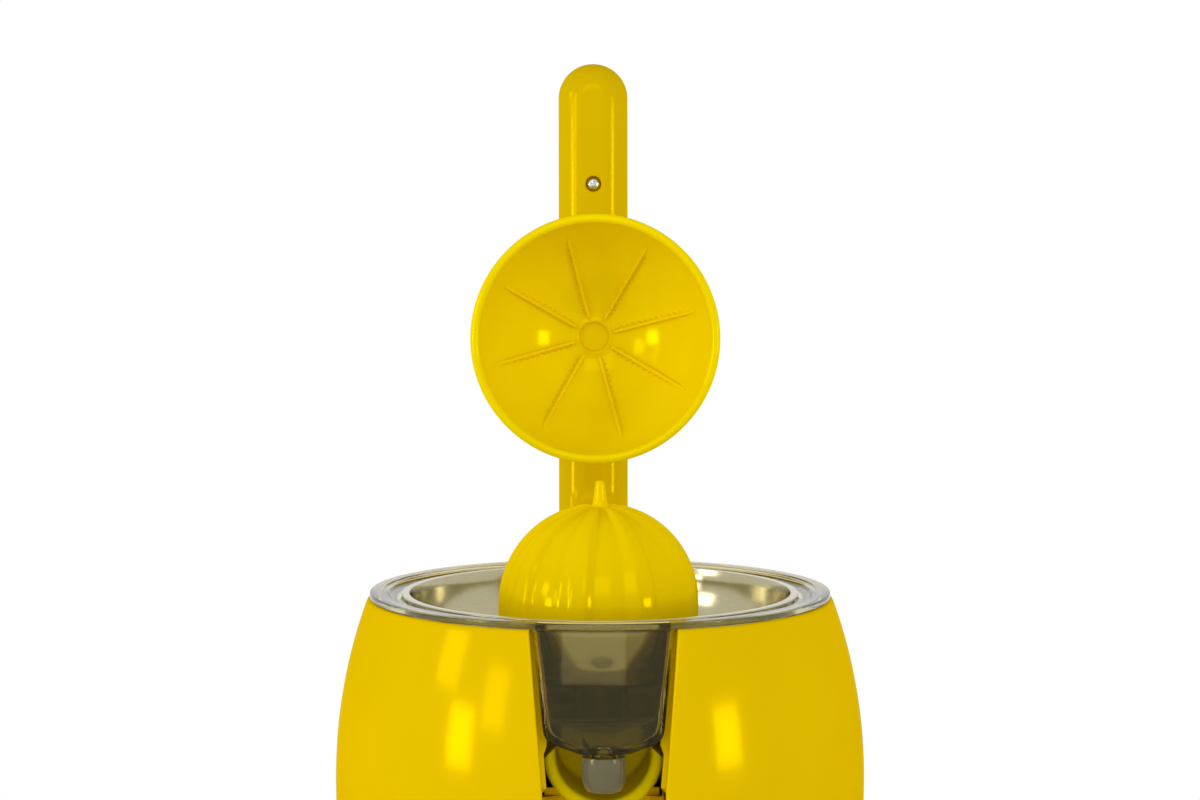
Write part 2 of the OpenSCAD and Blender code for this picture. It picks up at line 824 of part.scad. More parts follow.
module raised() {
    translate([0, hinge_y, hinge_z]) rotate([-arm_turn, 0, 0])
        translate([0, -hinge_y, -hinge_z]) children();
}

// The arm's cross section, X across and Y outwards
module arm_section(inset) {
    for (side = [-1, 1]) translate([side * (arm_w - arm_t) / 2, 0]) circle(r = end_r - inset);
    translate([-(arm_w - arm_t) / 2, -end_r + inset]) square([arm_w - arm_t, arm_t - 2 * inset]);
}

// One half of the arm's wall: side 1 is the outer half, side -1 faces the cup
module arm_wall_half(side) {
    intersection() {
        difference() {
            arm_section(0);
            arm_section(arm_wall);
        }
        translate([-arm_w, side > 0 ? 0 : -arm_w]) square([2 * arm_w, arm_w]);
    }
}

module arm_half(side) {
    tip_y = -arm_reach + arm_w / 2;
    turn_y = hinge_y - bend_r;
    turn_z = arm_level - bend_r;
    // Foot
    translate([0, hinge_y, hinge_z]) linear_extrude(height = turn_z - hinge_z) arm_wall_half(side);
    // Bend
    translate([0, turn_y, turn_z]) rotate(a = 120, v = [1, 1, 1])
        rotate_extrude(angle = quarter) translate([bend_r, 0]) rotate([0, 0, -quarter]) arm_wall_half(side);
    // Handle
    translate([0, turn_y, arm_level]) rotate([quarter, 0, 0])
        linear_extrude(height = turn_y - tip_y) arm_wall_half(side);
    // Round end
    translate([0, tip_y, arm_level]) rotate([0, 0, 2 * quarter]) rotate_extrude(angle = 2 * quarter)
        intersection() {
            arm_wall_half(side);
            translate([0, -arm_w]) square([arm_w, 2 * arm_w]);
        }
}

module arm_outer_shell() {
    color("gold") placed() raised() difference() {
        union() {
            difference() {
                arm_half(1);
                translate([-arm_w, 0, 0]) cube([2 * arm_w, far, hinge_z]);
            }
            for (y = arm_screw_rows) translate([0, y, arm_level])
                cylinder(r = arm_boss_r - 1, h = end_r - arm_wall / 2);
            translate([-knuckle_w / 2, hinge_y, hinge_z]) rotate([0, quarter, 0])
                cylinder(r = knuckle_r, h = knuckle_w);
        }
        translate([-arm_w, hinge_y, hinge_z]) rotate([0, quarter, 0])
            cylinder(r = pin_r + bush_wall, h = 2 * arm_w);
        for (y = arm_screw_rows) translate([0, y, arm_level - eps])
            cylinder(r = screw_r, h = end_r / 2 + eps);
    }
}

module arm_inner_shell() {
    lug_out = cup_lug_half + lug_gap;
    color("gold") placed() raised() difference() {
        union() {
            arm_half(-1);
            for (y = arm_screw_rows) translate([0, y, arm_level - end_r + arm_wall / 2])
                cylinder(r = arm_boss_r, h = end_r - arm_wall / 2);
            for (side = [-1, 1])
                translate([side * (lug_out + lug_t / 2), 0, cup_pin_z]) {
                    rotate([0, quarter, 0]) cylinder(r = cup_lug_r, h = lug_t, center = true);
                    translate([-lug_t / 2, -cup_lug_r, 0])
                        cube([lug_t, 2 * cup_lug_r, arm_level - end_r - cup_pin_z + arm_wall]);
                }
        }
        translate([-arm_w, hinge_y, hinge_z]) rotate([0, quarter, 0])
            cylinder(r = knuckle_r + gap / 3, h = 2 * arm_w);
        translate([-arm_w, 0, cup_pin_z]) rotate([0, quarter, 0]) cylinder(r = cup_pin_r, h = 2 * arm_w);
        for (y = arm_screw_rows) translate([0, y, arm_level - end_r - eps]) {
            cylinder(r = screw_r, h = far);
            cylinder(r = head_r + gap, h = seat_depth + eps);
        }
    }
}

module arm_screws() {
    color("silver") placed() raised() for (y = arm_screw_rows)
        translate([0, y, arm_level - end_r + seat_depth]) mirror([0, 0, 1])
            screw(head_r, head_h, screw_r, end_r + end_r / 2 - seat_depth);
}

module hinge_bushes() {
    bush_len = 9;
    color("darkgoldenrod") placed() raised() for (side = [-1, 1])
        translate([side * (knuckle_w - bush_len) / 2 - bush_len / 2, hinge_y, hinge_z])
            rotate([0, quarter, 0])
            tube(pin_r + bush_wall, pin_r + running, bush_len);
}

module cup_pin() {
    pin_half = cup_lug_half + lug_gap + lug_t;
    color("silver") placed() raised() translate([-pin_half, 0, cup_pin_z]) rotate([0, quarter, 0])
        cylinder(r = cup_pin_r, h = 2 * pin_half);
}

module press_cup() {
    rib_far_share = 0.86;
    color("gold") placed() raised() difference() {
        union() {
            rotate_extrude($fn = 120) intersection() {
                difference() {
                    translate([0, cup_centre_z]) circle(r = cup_arc + cup_wall, $fn = 240);
                    translate([0, cup_centre_z]) circle(r = cup_arc, $fn = 240);
                }
                translate([0, cup_rim_z]) square([far, far]);
            }
            rotate_extrude($fn = 120) translate([cup_r - cup_wall / 2, cup_rim_z + cup_lip_r - half])
                circle(r = cup_lip_r, $fn = 32);
            // Ribs
            intersection() {
                difference() {
                    translate([0, 0, cup_centre_z]) sphere(r = cup_arc + cup_wall / 2);
                    translate([0, 0, cup_centre_z]) sphere(r = cup_arc - cup_rib_h);
                }
                for (i = [0 : cup_rib_n - 1]) rotate([0, 0, (i + 2 / 3) * full / cup_rib_n])
                    translate([socket_r, -cup_rib_t / 2, cup_rim_z + cup_depth / 6])
                        cube([cup_in_r * rib_far_share - socket_r, cup_rib_t, cup_depth]);
            }
            // Socket and the boss behind it
            translate([0, 0, cup_rim_z + cup_depth - socket_h])
                cylinder(r = socket_r + socket_wall, h = cup_top - cup_rim_z - cup_depth + socket_h);
            translate([0, 0, cup_rim_z + cup_depth])
                cylinder(r = cup_boss_r, h = cup_top - cup_rim_z - cup_depth);
            translate([-cup_lug_half, 0, cup_pin_z]) rotate([0, quarter, 0])
                cylinder(r = cup_lug_r, h = 2 * cup_lug_half);
            translate([-cup_lug_half, -cup_lug_r, cup_top - eps])
                cube([2 * cup_lug_half, 2 * cup_lug_r, cup_pin_z - cup_top + eps]);
        }
        translate([0, 0, cup_rim_z]) cylinder(r = socket_r, h = socket_top - cup_rim_z);
        translate([-arm_w, 0, cup_pin_z]) rotate([0, quarter, 0])
            cylinder(r = cup_pin_r + running, h = 2 * arm_w);
    }
}

// Reamer and drive

module reamer_body(radius) {
    translate([0, 0, dome_z]) sphere(r = radius, $fn = 120);
    translate([0, 0, reamer_low]) cylinder(r = radius, h = dome_z - reamer_low, $fn = 120);
}

module reamer() {
    rib_half = full / rib_n / 5;
    color("gold") placed() difference() {
        union() {
            reamer_body(core_r);
            intersection() {
                reamer_body(reamer_r);
                translate([0, 0, reamer_low]) linear_extrude(height = far) for (i = [0 : rib_n - 1])
                    rotate([0, 0, (i + 1 / 4) * full / rib_n])
                        polygon([[0, 0], [2 * reamer_r, -2 * reamer_r * tan(rib_half)],
                                 [2 * reamer_r, 2 * reamer_r * tan(rib_half)]]);
            }
            translate([0, 0, dome_z + core_r - tip_sink])
                cylinder(r1 = tip_r + tip_sink, r2 = tip_end_r, h = tip_h + rib_h + tip_sink);
        }
        difference() {
            translate([0, 0, -eps]) reamer_body(hollow_r);
            translate([0, 0, chimney_top + hub_gap]) cylinder(r = reamer_hub_r, h = far);
        }
        cylinder(r = drive_hex_r + 2 * running, h = spindle_top + gap, $fn = 6);
        translate([0, 0, reamer_low - far]) cylinder(r = far, h = far);
    }
}

module spindle() {
    color("silver") placed() {
        translate([0, 0, spindle_low]) cylinder(r = spindle_r, h = spindle_top - spindle_low);
        translate([0, 0, spindle_top - drive_flat_h]) cylinder(r = drive_hex_r, h = drive_flat_h, $fn = 6);
        translate([0, 0, collar_top - collar_h]) cylinder(r = collar_r, h = collar_h);
        translate([0, -key_w / 2, coarse_z + press_travel]) cube([spindle_r + key_out, key_w, coarse_h]);
    }
}

// Points of one ring of the spring's wire
function wire_ring(turn, lift, mean, wire, sides) =
    [for (k = [0 : sides - 1]) let (a = full * k / sides, r = mean + wire * cos(a))
        [r * cos(turn), r * sin(turn), lift + wire * sin(a)]];

module spindle_spring() {
    sides = 6;
    steps = 12;
    wire = spring_wire / 2;
    low = coarse_z + coarse_h + hub_over + wire + running;
    high = collar_top - collar_h - wire - running;
    mean = (spindle_r + collar_r) / 2;
    rings = spring_turns * steps;
    points = [for (i = [0 : rings]) each
        wire_ring(full * i / steps, low + (high - low) * i / rings, mean, wire, sides)];
    sides_faces = [for (i = [0 : rings - 1]) for (k = [0 : sides - 1])
        let (a = i * sides + k, b = i * sides + (k + 1) % sides)
            for (f = [[a, b, a + sides], [b, b + sides, a + sides]]) f];
    caps = [[for (k = [0 : sides - 1]) sides - 1 - k], [for (k = [0 : sides - 1]) rings * sides + k]];
    color("silver") placed() polyhedron(points = points, faces = concat(sides_faces, caps), convexity = 6);
}

function inv(a) = tan(a) * 180 / PI - a;

// A spur gear's outline, with one tooth on the X axis
module gear_outline(mod, n) {
    pitch = mod * n / 2;
    base = pitch * cos(pressure);
    root = pitch - root_share * mod;
    tip = pitch + mod;
    low = max(base, root);
    steps = 3;
    flank = [for (k = [0 : steps]) let (r = low + (tip - low) * k / steps)
        [r, quarter / n * (1 - backlash_share) + inv(pressure) - inv(acos(min(1, base / r)))]];
    polygon([for (i = [0 : n - 1]) each concat(
        [let (a = full * i / n - flank[0][1]) [root * cos(a), root * sin(a)]],
        [for (k = [0 : steps]) let (a = full * i / n - flank[k][1]) [flank[k][0] * cos(a),
            flank[k][0] * sin(a)]],
        [for (k = [0 : steps]) let (j = steps - k, a = full * i / n + flank[j][1])
            [flank[j][0] * cos(a), flank[j][0] * sin(a)]],
        [let (a = full * i / n + flank[0][1]) [root * cos(a), root * sin(a)]])]);
}

module gear(mod, n, h) {
    linear_extrude(height = h) gear_outline(mod, n);
}

module output_gear() {
    slack = 0.15;
    color("ivory") placed() difference() {
        union() {
            translate([0, 0, coarse_z]) rotate([0, 0, to_spindle + 2 * quarter + 2 * quarter / output_n])
                gear(coarse_mod, output_n, coarse_h);
            translate([0, 0, coarse_z]) cylinder(r = hub_r, h = coarse_h + hub_over);
        }
        cylinder(r = spindle_r + running, h = far);
        translate([0, -key_w / 2 - slack, 0]) cube([spindle_r + key_out + slack, key_w + 2 * slack, far]);
    }
}

module idler_gear() {
    color("ivory") placed() translate([idler_x, idler_y, 0]) difference() {
        union() {
            translate([0, 0, fine_z]) rotate([0, 0, to_idler + 2 * quarter + 2 * quarter / idler_n])
                gear(fine_mod, idler_n, fine_h);
            translate([0, 0, fine_z + fine_h]) rotate([0, 0, to_spindle])
                gear(coarse_mod, pinion_n, coarse_z + coarse_h + pinion_over - fine_z - fine_h);
        }
        cylinder(r = idler_pin_r + running, h = far);
    }
}

module motor_rotor() {
    rotor_over = 1;
    color("dimgray") placed() translate([0, motor_y, stack_low - rotor_over])
        tube(rotor_r, shaft_r, stack_h + 2 * rotor_over);
}

module motor_shaft() {
    color("silver") placed() translate([0, motor_y, 0]) {
        translate([0, 0, shaft_low]) cylinder(r = shaft_r, h = fine_z + fine_h + pinion_over - shaft_low);
        translate([0, 0, fine_z - pinion_over]) rotate([0, 0, to_idler])
            gear(fine_mod, pinion_n, fine_h + 2 * pinion_over);
    }
}

module cooling_fan() {
    blade_t = 1.6;
    blade_gap = 1;
    fan_hub_r = 7;
    pitch_turn = 35;
    color("dimgray") placed() translate([0, motor_y, shaft_low]) difference() {
        union() {
            cylinder(r = fan_hub_r, h = fan_h);
            for (i = [0 : fan_blades - 1]) rotate([0, 0, i * full / fan_blades])
                translate([(fan_r + fan_hub_r / 2) / 2, 0, fan_h / 2]) rotate([pitch_turn, 0, 0])
                    cube([fan_r - fan_hub_r / 2, blade_t, fan_h - blade_gap], center = true);
        }
        translate([0, 0, -eps]) cylinder(r = shaft_r, h = fan_h + 2 * eps);
    }
}

module switch_plunger() {
    color("red") placed() translate([0, 0, switch_top - plunger_in])
        cylinder(r = plunger_r, h = plunger_in + plunger_out);
}

// Sieve, container and spout

// A bowl's wall from its floor to its rim: a quarter of an oval, then the same pulled in
function oval(floor_r, rim_r, low, rise, thick, steps) =
    [for (k = [0 : steps]) let (a = quarter * k / steps)
        [floor_r + (rim_r - floor_r) * sin(a) - thick * sin(a),
            low + rise * (1 - cos(a)) + thick * cos(a)]];

function reversed(list) = [for (i = [len(list) - 1 : -1 : 0]) list[i]];

module sieve() {
    wall_r = sieve_r - sieve_rim_w;
    rise = sieve_drop - sheet_t;
    steps = 9;
    collar_r_in = chimney_r + collar_gap;
    rings = 4;
    drain_pitch = 3 * drain_r;
    color("silver") placed() difference() {
        rotate_extrude($fn = 120) polygon(concat(
            [[collar_r_in, sieve_floor]],
            oval(sieve_floor_r, wall_r, sieve_floor, rise, 0, steps),
            [[sieve_r, sieve_top - sheet_t], [sieve_r, sieve_top], [wall_r - sheet_t, sieve_top]],
            reversed(oval(sieve_floor_r, wall_r, sieve_floor, rise, sheet_t, steps)),
            [[collar_r_in + sheet_t, sieve_floor + sheet_t],
                [collar_r_in + sheet_t, sieve_floor + sieve_collar_h],
             [collar_r_in, sieve_floor + sieve_collar_h]]));
        for (ring = [0 : rings - 1]) for (i = [0 : drain_n - 1])
            rotate([0, 0, (i + half * (ring % 2)) * full / drain_n])
                translate([sieve_floor_r - (ring + 1) * drain_pitch, 0, sieve_floor - eps])
                    cylinder(r = drain_r, h = sheet_t + 2 * eps, $fn = 24);
    }
}

module bowl_outer() {
    rotate_extrude($fn = 120) polygon(concat(
        [[0, bowl_low]],
        oval(bowl_floor_r, bowl_r, bowl_low, bowl_drop - 4 * flange_t, 0, 6),
        [[flange_r - 2 * flange_t, ring_z - flange_t], [flange_r, ring_z - flange_t],
            [flange_r, ring_z], [0, ring_z]]));
}

module bowl_inner() {
    flat_in = flange_r - flange_w;
    ledge = sieve_r - sieve_rim_w / 2;
    rotate_extrude($fn = 120) polygon(concat(
        [[0, bowl_low + clear_wall]],
        oval(bowl_floor_r, bowl_r, bowl_low, bowl_drop - 4 * flange_t, clear_wall, 6),
        [[bowl_r - clear_wall, shelf_z - 2 * clear_wall], [ledge, shelf_z - clear_wall], [ledge, shelf_z],
         [flat_in - shelf_drop, shelf_z], [flat_in, ring_z], [flat_in, ring_z + eps], [0, ring_z + eps]]));
}

// The box that fills the slot, from the front, with its sloping floor
module box_front(inset) {
    top = box_top_half - inset;
    low = box_low_half - inset;
    lip = box_low_half * lip_half_share - inset / 2;
    high = inset > 0 ? shelf_z - clear_wall : ring_z - flange_t / 2;
    polygon([[-top, high], [-low, bowl_low + inset], [-lip, lip_z + inset],
             [lip, lip_z + inset], [low, bowl_low + inset], [top, high]]);
}

module front_box(inset) {
    intersection() {
        barrel(box_inset + inset, lip_z - eps, ring_z);
        translate([0, -box_back - inset, 0]) forward(far) box_front(inset);
    }
}

module juice_container() {
    color([0.8, 0.8, 0.7, 0.45]) placed() difference() {
        union() {
            difference() {
                union() {
                    bowl_outer();
                    front_box(0);
                }
                bowl_inner();
                front_box(clear_wall);
            }
            translate([0, 0, bowl_low]) cylinder(r = chimney_r, h = chimney_h);
            translate([0, -spout_y, spout_z]) sphere(r = ball_r);
            translate([0, -spout_y, spout_z]) cylinder(r = neck_r, h = lip_z + clear_wall / 2 - spout_z);
            translate([0, -spout_y, spout_z]) rotate([0, quarter, 0])
                cylinder(r = trunnion_r, h = 2 * (ball_r + trunnion_out), center = true);
        }
        translate([0, 0, bowl_low - eps]) cylinder(r = chimney_r - clear_wall, h = far);
        translate([0, -spout_y, spout_z - ball_r - eps])
            cylinder(r = outlet_r, h = lip_z + clear_wall - spout_z + ball_r + 2 * eps);
    }
}

module drip_spout() {
    mouth_r = 6.6;
    spout_wall = 1.3;
    throat_r = mouth_r - spout_wall;
    color([0.8, 0.8, 0.7, 0.45]) placed() translate([0, -spout_y, spout_z]) difference() {
        union() {
            sphere(r = spout_r);
            translate([0, 0, -spout_len]) cylinder(r = mouth_r, h = spout_len);
        }
        sphere(r = ball_r + gap);
        translate([0, 0, -spout_len - eps]) cylinder(r = throat_r, h = spout_len);
        for (turn = [0, -spout_tilt]) rotate([turn, 0, 0]) translate([-far / 2, -far / 2, spout_open])
            cube([far, far, far]);
        rotate([0, quarter, 0]) cylinder(r = trunnion_r + running, h = far, center = true);
    }
}

// Drip tray

module drip_tray() {
    ledge_w = 2;
    color("#222222") placed() translate([0, -tray_y, 0]) difference() {
        translate([0, 0, tray_low]) cylinder(r = tray_r, h = tray_h);
        translate([0, 0, tray_low + tray_wall]) cylinder(r = tray_r - tray_wall - ledge_w, h = far);
        translate([0, 0, grid_low - gap]) cylinder(r = tray_r - tray_wall, h = far);
    }
}

module drip_grid() {
    grid_r = tray_r - tray_wall - gap;
    pitch = 2 * grid_slot_w;
    rows = 4;
    color("silver") placed() translate([0, -tray_y, grid_low]) difference() {
        cylinder(r = grid_r, h = grid_t);
        for (i = [-rows : rows]) let (x = i * pitch, reach = sqrt(pow(grid_r - 2 * grid_slot_w, 2) - x * x))
            translate([x - grid_slot_w / 2, -reach, -eps]) cube([grid_slot_w, 2 * reach, grid_t + 2 * eps]);
    }
}

body_shell();
base_plate();
feet();
base_screws();
inner_chassis();
chassis_screws();
bay_liner();
spout_cradle();
arm_bracket();
bracket_screws();
hinge_pin();
cord_inlet();
spindle_bushes();
shaft_seal();
gear_case();
gear_case_screws();
idler_pin();
motor_stator();
motor_winding();
motor_upper_frame();
motor_lower_frame();
motor_bushes();
motor_screws();
microswitch();
terminal_block();
arm_outer_shell();
arm_inner_shell();
arm_screws();
hinge_bushes();
cup_pin();
press_cup();
reamer();
spindle();
spindle_spring();
output_gear();
idler_gear();
motor_rotor();
motor_shaft();
cooling_fan();
switch_plunger();
sieve();
juice_container();
drip_spout();
drip_tray();
drip_grid();
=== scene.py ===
import json
import math
import bpy
import bmesh
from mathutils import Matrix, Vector


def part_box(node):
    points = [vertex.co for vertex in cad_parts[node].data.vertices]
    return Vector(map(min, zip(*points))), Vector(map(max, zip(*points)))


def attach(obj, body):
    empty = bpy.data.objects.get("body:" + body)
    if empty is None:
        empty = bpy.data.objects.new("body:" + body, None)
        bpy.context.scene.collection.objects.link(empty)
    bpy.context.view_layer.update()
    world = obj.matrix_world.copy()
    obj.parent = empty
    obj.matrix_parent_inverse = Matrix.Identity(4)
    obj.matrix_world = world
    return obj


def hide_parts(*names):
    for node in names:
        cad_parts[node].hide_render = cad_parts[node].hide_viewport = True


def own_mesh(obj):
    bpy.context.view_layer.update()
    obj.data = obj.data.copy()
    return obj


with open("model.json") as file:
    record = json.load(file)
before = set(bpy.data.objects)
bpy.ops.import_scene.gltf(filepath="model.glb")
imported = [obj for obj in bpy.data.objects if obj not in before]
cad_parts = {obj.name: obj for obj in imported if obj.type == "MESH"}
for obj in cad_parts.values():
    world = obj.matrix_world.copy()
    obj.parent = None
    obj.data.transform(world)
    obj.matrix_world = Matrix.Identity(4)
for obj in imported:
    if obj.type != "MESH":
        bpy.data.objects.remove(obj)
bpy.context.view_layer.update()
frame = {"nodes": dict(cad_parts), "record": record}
scene = bpy.context.scene

MM = 0.001
AXIS_Y = sum(corner[1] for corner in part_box("shaft_seal")) / 2   # the body's axis in the frame
TAU = 2 * math.pi


# Camera: in front of the object, a little to its left, about 1.4 m off
CAM_X, CAM_BACK, CAM_Z = -0.0209, 1.4088, 0.428
CAM_PITCH, CAM_TURN = 84.72, -0.85
cam_data = bpy.data.cameras.new("camera")
cam_data.lens = 111.4
cam_data.sensor_width = 36
cam_data.clip_end = 50
cam = bpy.data.objects.new("camera", cam_data)
cam.location = (CAM_X, AXIS_Y - CAM_BACK, CAM_Z)
cam.rotation_euler = (math.radians(CAM_PITCH), 0, math.radians(CAM_TURN))
scene.collection.objects.link(cam)
scene.camera = cam


# Materials
def new_mat(name):
    mat = bpy.data.materials.new(name)
    mat.use_nodes = True
    tree = mat.node_tree
    bsdf = tree.nodes["Principled BSDF"]
    return mat, tree, bsdf


def add(tree, kind, **values):
    """A node with its sockets or properties set."""
    node = tree.nodes.new(kind)
    for key, value in values.items():
        if key in node.inputs:
            node.inputs[key].default_value = value
        else:
            setattr(node, key, value)
    return node


def coords(tree, scale=(1, 1, 1)):
    place = tree.nodes.new("ShaderNodeTexCoord")
    mapping = add(tree, "ShaderNodeMapping", Scale=scale)
    tree.links.new(place.outputs["Object"], mapping.inputs["Vector"])
    return mapping.outputs["Vector"]


def noise(tree, vector, scale, detail=2.0, rough=0.5):
    node = add(tree, "ShaderNodeTexNoise", Scale=scale, Detail=detail, Roughness=rough)
    tree.links.new(vector, node.inputs["Vector"])
    return node.outputs["Fac"]


def ramp(tree, fac, stops):
    node = tree.nodes.new("ShaderNodeValToRGB")
    marks = node.color_ramp.elements
    while len(marks) < len(stops):
        marks.new(0.5)
    for mark, (place, colour) in zip(marks, stops):
        mark.position = place
        mark.color = (*colour, 1) if len(colour) == 3 else colour
    tree.links.new(fac, node.inputs["Fac"])
    return node.outputs["Color"]


def span(tree, fac, low, high):
    node = tree.nodes.new("ShaderNodeMapRange")
    node.inputs["To Min"].default_value = low
    node.inputs["To Max"].default_value = high
    tree.links.new(fac, node.inputs["Value"])
    return node.outputs["Result"]


def bump(tree, bsdf, height, distance, strength=1.0):
    node = add(tree, "ShaderNodeBump", Strength=strength, Distance=distance)
    tree.links.new(height, node.inputs["Height"])
    tree.links.new(node.outputs["Normal"], bsdf.inputs["Normal"])


MOULD_WAVE = 0.0002


def plastic(name, low, high, rough, tint=(1, 1, 1), grain=0.0, spec=0.5, lustre=0.0):
    """Moulded plastic: a slight colour drift, uneven gloss, and a faint moulding wave or grain."""
    mat, tree, bsdf = new_mat(name)
    place = coords(tree)
    drift = noise(tree, place, 22, 2)
    tree.links.new(ramp(tree, drift, [(0.3, low), (0.7, high)]), bsdf.inputs["Base Color"])
    tree.links.new(span(tree, noise(tree, place, 60, 3), *rough), bsdf.inputs["Roughness"])
    bsdf.inputs["Specular IOR Level"].default_value = spec
    bsdf.inputs["Metallic"].default_value = lustre
    bsdf.inputs["Specular Tint"].default_value = (*tint, 1)
    if grain:
        bump(tree, bsdf, noise(tree, place, 2600, 2), grain)
    else:
        bump(tree, bsdf, noise(tree, place, 30, 1), MOULD_WAVE, 0.3)
    return mat


def metal(name, colour, rough=(0.15, 0.3), stretch=(1, 1, 1), scale=400, depth=0.0):
    """Bare metal with fine brushed or turned lines along the axis that isn't stretched."""
    mat, tree, bsdf = new_mat(name)
    place = coords(tree, stretch)
    lines = noise(tree, place, scale, 4, 0.6)
    dark = tuple(0.86 * c for c in colour)
    tree.links.new(ramp(tree, lines, [(0.3, dark), (0.7, colour)]), bsdf.inputs["Base Color"])
    tree.links.new(span(tree, lines, *rough), bsdf.inputs["Roughness"])
    bsdf.inputs["Metallic"].default_value = 1
    if depth:
        bump(tree, bsdf, lines, depth)
    return mat


def clear(name, tint, rough=0.03, through=1.0, shine=(0.8, 0.72, 0.4)):
    """Clear moulded plastic, a little tinted, with faint marks of use."""
    mat, tree, bsdf = new_mat(name)
    place = coords(tree)
    bsdf.inputs["Base Color"].default_value = (*tint, 1)
    bsdf.inputs["Transmission Weight"].default_value = through
    bsdf.inputs["Specular Tint"].default_value = (*shine, 1)
    bsdf.inputs["IOR"].default_value = 1.42
    marks = noise(tree, place, 90, 4)
    tree.links.new(span(tree, marks, rough, rough + 0.05), bsdf.inputs["Roughness"])
    return mat


# A gloss that stays yellow at its edges
GLOSS = {"rough": (0.1, 0.16), "tint": (1.0, 0.75, 0.0), "spec": 0.0, "lustre": 0.08}
YELLOW = plastic("yellow_gloss", (0.745, 0.49, 0.0002), (0.775, 0.51, 0.0004), **GLOSS)
# The cup's copy of the yellow is painted lighter than the body's: painted light for its shaded hollow.
CUP_YELLOW_PAINTED_LIGHT = plastic("yellow_gloss_cup_painted_light", (0.88, 0.67, 0.0002), (0.91, 0.70, 0.0004), **GLOSS)
# The reamer's copy of the yellow is painted lighter than the body's: painted light.
REAMER_YELLOW_PAINTED_LIGHT = plastic("yellow_gloss_reamer_painted_light", (0.84, 0.585, 0.0002), (0.87, 0.61, 0.0004), **GLOSS)
# The scoop's copy of the yellow is lighter and greener than the body's: painted light for the shade in the
# opening.
SCOOP_YELLOW_PAINTED_LIGHT = plastic("yellow_gloss_scoop_painted_light", (0.70, 0.535, 0.0002), (0.73, 0.56, 0.0004), **GLOSS)
# The arm's copy of the yellow is painted darker than the body's: painted shade.
ARM_YELLOW_PAINTED_SHADE = plastic("yellow_gloss_arm_painted_shade", (0.66, 0.445, 0.0002), (0.69, 0.465, 0.0004), **GLOSS)
BLACK = plastic("black_moulded", (0.012, 0.012, 0.011), (0.022, 0.022, 0.02),
                rough=(0.35, 0.5), grain=0.00003)
GREY = plastic("grey_moulded", (0.38, 0.38, 0.37), (0.45, 0.45, 0.44),
               rough=(0.35, 0.5), grain=0.00002)
ACETAL = plastic("acetal", (0.72, 0.70, 0.62), (0.8, 0.78, 0.7),
                 rough=(0.3, 0.42), grain=0.00002)
RUBBER = plastic("rubber", (0.015, 0.015, 0.015), (0.03, 0.03, 0.03),
                 rough=(0.6, 0.8), grain=0.00006, spec=0.3)
ZINC = metal("zinc_plate", (0.72, 0.72, 0.72), rough=(0.12, 0.22), scale=900)
STEEL = metal("turned_steel", (0.56, 0.56, 0.55), stretch=(1, 1, 12))
# Its colour is darkened and yellowed: painted reflection of a dim, yellow surround, not the steel's own
# colour.
POLISHED_PAINTED_REFLECTION = metal("polished_sheet_painted_reflection", (0.47, 0.43, 0.27), rough=(0.11, 0.2), stretch=(1, 1, 18), scale=260)
BRONZE = metal("sintered_bronze", (0.5, 0.32, 0.14), rough=(0.4, 0.55), scale=1500, depth=0.00002)
LAMINATION = metal("steel_stack", (0.26, 0.26, 0.28), rough=(0.35, 0.5), stretch=(1, 1, 60),
                   scale=60, depth=0.00005)
COPPER = metal("copper_wire", (0.62, 0.25, 0.1), rough=(0.25, 0.35), stretch=(1, 1, 40),
               scale=80, depth=0.0001)
CLEAR = clear("clear_moulded", (0.70, 0.66, 0.41))
CLOUDY = clear("cloudy_moulded", (0.42, 0.40, 0.26), rough=0.1, through=0.78)

LOOKS = {
    "yellow_plastic": YELLOW, "clear_plastic": CLEAR, "polished_steel": POLISHED_PAINTED_REFLECTION, "steel": STEEL,
    "black_plastic": BLACK, "grey_plastic": GREY, "gear_plastic": ACETAL, "rubber": RUBBER,
    "bronze": BRONZE, "lamination": LAMINATION, "copper": COPPER,
}
for part in frame["record"]["subparts"]:
    node = frame["nodes"][part["node"]]
    node.data.materials.clear()
    node.data.materials.append(LOOKS[part["material_slot"]])


# Mesh building, in millimetres about the body's axis
def place(point):
    return (point[0] * MM, point[1] * MM + AXIS_Y, point[2] * MM)


def piece(name, verts, faces, mat, body, replaces=(), slot=None, sharp=35, turned=None):
    """A finished piece from points in mm. turned moves the points first."""
    mesh = bpy.data.meshes.new(name)
    if turned:
        verts = [turned(v) for v in verts]
    mesh.from_pydata([place(v) for v in verts], [], faces)
    return finish_piece(name, mesh, mat, body, replaces, sharp)


def finish_piece(name, mesh, mat, body, replaces=(), sharp=35):
    mesh.validate()
    bm = bmesh.new()
    bm.from_mesh(mesh)
    bmesh.ops.remove_doubles(bm, verts=bm.verts, dist=1e-6)
    bmesh.ops.recalc_face_normals(bm, faces=bm.faces)
    bm.to_mesh(mesh)
    bm.free()
    mesh.polygons.foreach_set("use_smooth", [True] * len(mesh.polygons))
    mesh.set_sharp_from_angle(angle=math.radians(sharp))
    mesh.materials.clear()
    mesh.materials.append(mat)
    obj = bpy.data.objects.new(name, mesh)
    scene.collection.objects.link(obj)
    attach(obj, body)
    if replaces:
        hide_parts(*replaces)
    return obj


def loft(rows, ring=True, caps=(True, True), around=False):
    """Points and faces from rows of the same length.

    ring closes each row, and around joins the last row to the first.
    """
    n = len(rows[0])
    verts = [p for row in rows for p in row]
    faces = []
    count = len(rows) if around else len(rows) - 1
    for i in range(count):
        a, b = i * n, (i + 1) % len(rows) * n
        for k in range(n if ring else n - 1):
            m = (k + 1) % n
            faces.append((a + k, a + m, b + m, b + k))
    if not around and ring:
        if caps[0]:
            faces.append(tuple(range(n - 1, -1, -1)))
        if caps[1]:
            faces.append(tuple(range((len(rows) - 1) * n, len(rows) * n)))
    return verts, faces


